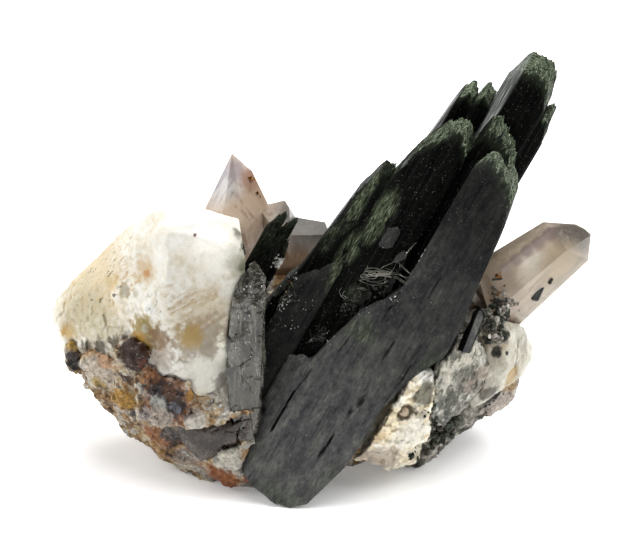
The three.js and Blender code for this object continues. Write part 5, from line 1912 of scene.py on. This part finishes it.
dice = random.Random(21)
threads = [loop(dice, NEST, 1.3, (0.9, 2.4)) for _ in range(NEST_LOOPS)]
threads += [loop(dice, LENS, 0.25, (1.8, 2.3)) for _ in range(LENS_LOOPS)]
for start, end, spread, wander, count in STRAIGHT_THREADS:
    for _ in range(count):
        ends = [from_blades(*[m + dice.uniform(-1, 1) * k for m, k in zip(middle, spread)])
                for middle in (start, end)]
        threads.append(thread(wandering(lambda share: ends[0].lerp(ends[1], share),
                                        dice.uniform(1, 40), wander)))
hair, tree = new_material("fibre_pale")
shade = ramp_of(noise_of(millimetres_in(tree), 0.9), *FIBRE_SHADES)
surface_in(tree, shade, 0.5)
finished("threads", joined(*threads), hair, [])
print("threads:", len(threads))

# %% [markdown]
# ### Inclusions
# Dark needles and flakes grew inside the leaning quartz, and a few break its surface. They are
# small chips and bars, sunk to half their depth in its faces. Flakes of rust lie on its skin and
# on a few neighbours.

# %% Inclusions
def bar(centre, size, way):
    """A small bevelled bar that points along a direction."""
    bm = bmesh.new()
    bmesh.ops.create_cube(bm, size=1.0)
    bmesh.ops.scale(bm, vec=size, verts=bm.verts)
    bmesh.ops.bevel(bm, geom=bm.edges[:], offset=min(size) * 0.2, affect="EDGES", segments=1,
                    profile=0.5, material=-1)
    bmesh.ops.rotate(bm, matrix=Vector(way).to_track_quat("Z", "Y").to_matrix(), verts=bm.verts)
    bmesh.ops.translate(bm, vec=centre, verts=bm.verts)
    return bm


INCLUSIONS = [
    # centre, size, direction
    ((28.7, 0.8, 24.1), (1.3, 1.2, 2.3), (0.38, 0.1, 0.95)),
    ((30.4, 0.6, 25.8), (0.6, 0.45, 0.9), (0.35, 0.1, 0.9)),
    ((23.3, -0.85, 26.7), (0.22, 0.3, 1.4), (1.0, 0.1, 0.05)),
    ((27.2, -0.2, 26.6), (0.08, 0.2, 0.7), (0.9, 0.1, -0.35)),
]
inclusions = as_aegirine(joined(*[bar(*given) for given in INCLUSIONS]), 0.5)
finished("inclusions", inclusions, AEGIRINE, [], crease=20)

# %% Iron flakes
RUSTY_FLAKES = [
    # place, spread, count, size
    ((23.2, -0.9, 27.2), 0.7, 9, 0.32), ((23.9, -1.3, 25.3), 0.7, 8, 0.26),
    ((-8.9, 8.2, 37.2), 0.5, 7, 0.28), ((-8.0, 8.2, 35.0), 0.5, 6, 0.26),
    (from_blades(-3.2, 3.8, -3.4), 1.6, 7, 0.26), (from_blades(-4.2, 3.0, -1.6), 1.2, 5, 0.24),
]
FLAKE_SHADES = [(0.3, (0.10, 0.04, 0.012)), (0.55, (0.42, 0.16, 0.03)), (0.8, (0.60, 0.30, 0.08))]
FLAKE_STONES = ["leaning_point", "rear_points", "sprig", "left_ridge"]
FLAKES = rock_material("iron_flakes", FLAKE_SHADES, [], grain=2.0, patchy=1.0, roughness=0.5)
finished("iron_flakes", settled(RUSTY_FLAKES, FLAKE_STONES, 14, squash=0.4), FLAKES,
         [], crease=10)

# %% [markdown]
# ## The size of the whole
# The dressed specimen keeps the imported model's size, so both boxes are printed side by side. The
# dressed specimen has to keep the imported model's size.

# %% Print the sizes and finish
size = {"cad_box_m": [list(corner) for corner in CAD_BOX]}
size["visual_box_m"] = [list(corner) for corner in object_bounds()]
print(size)
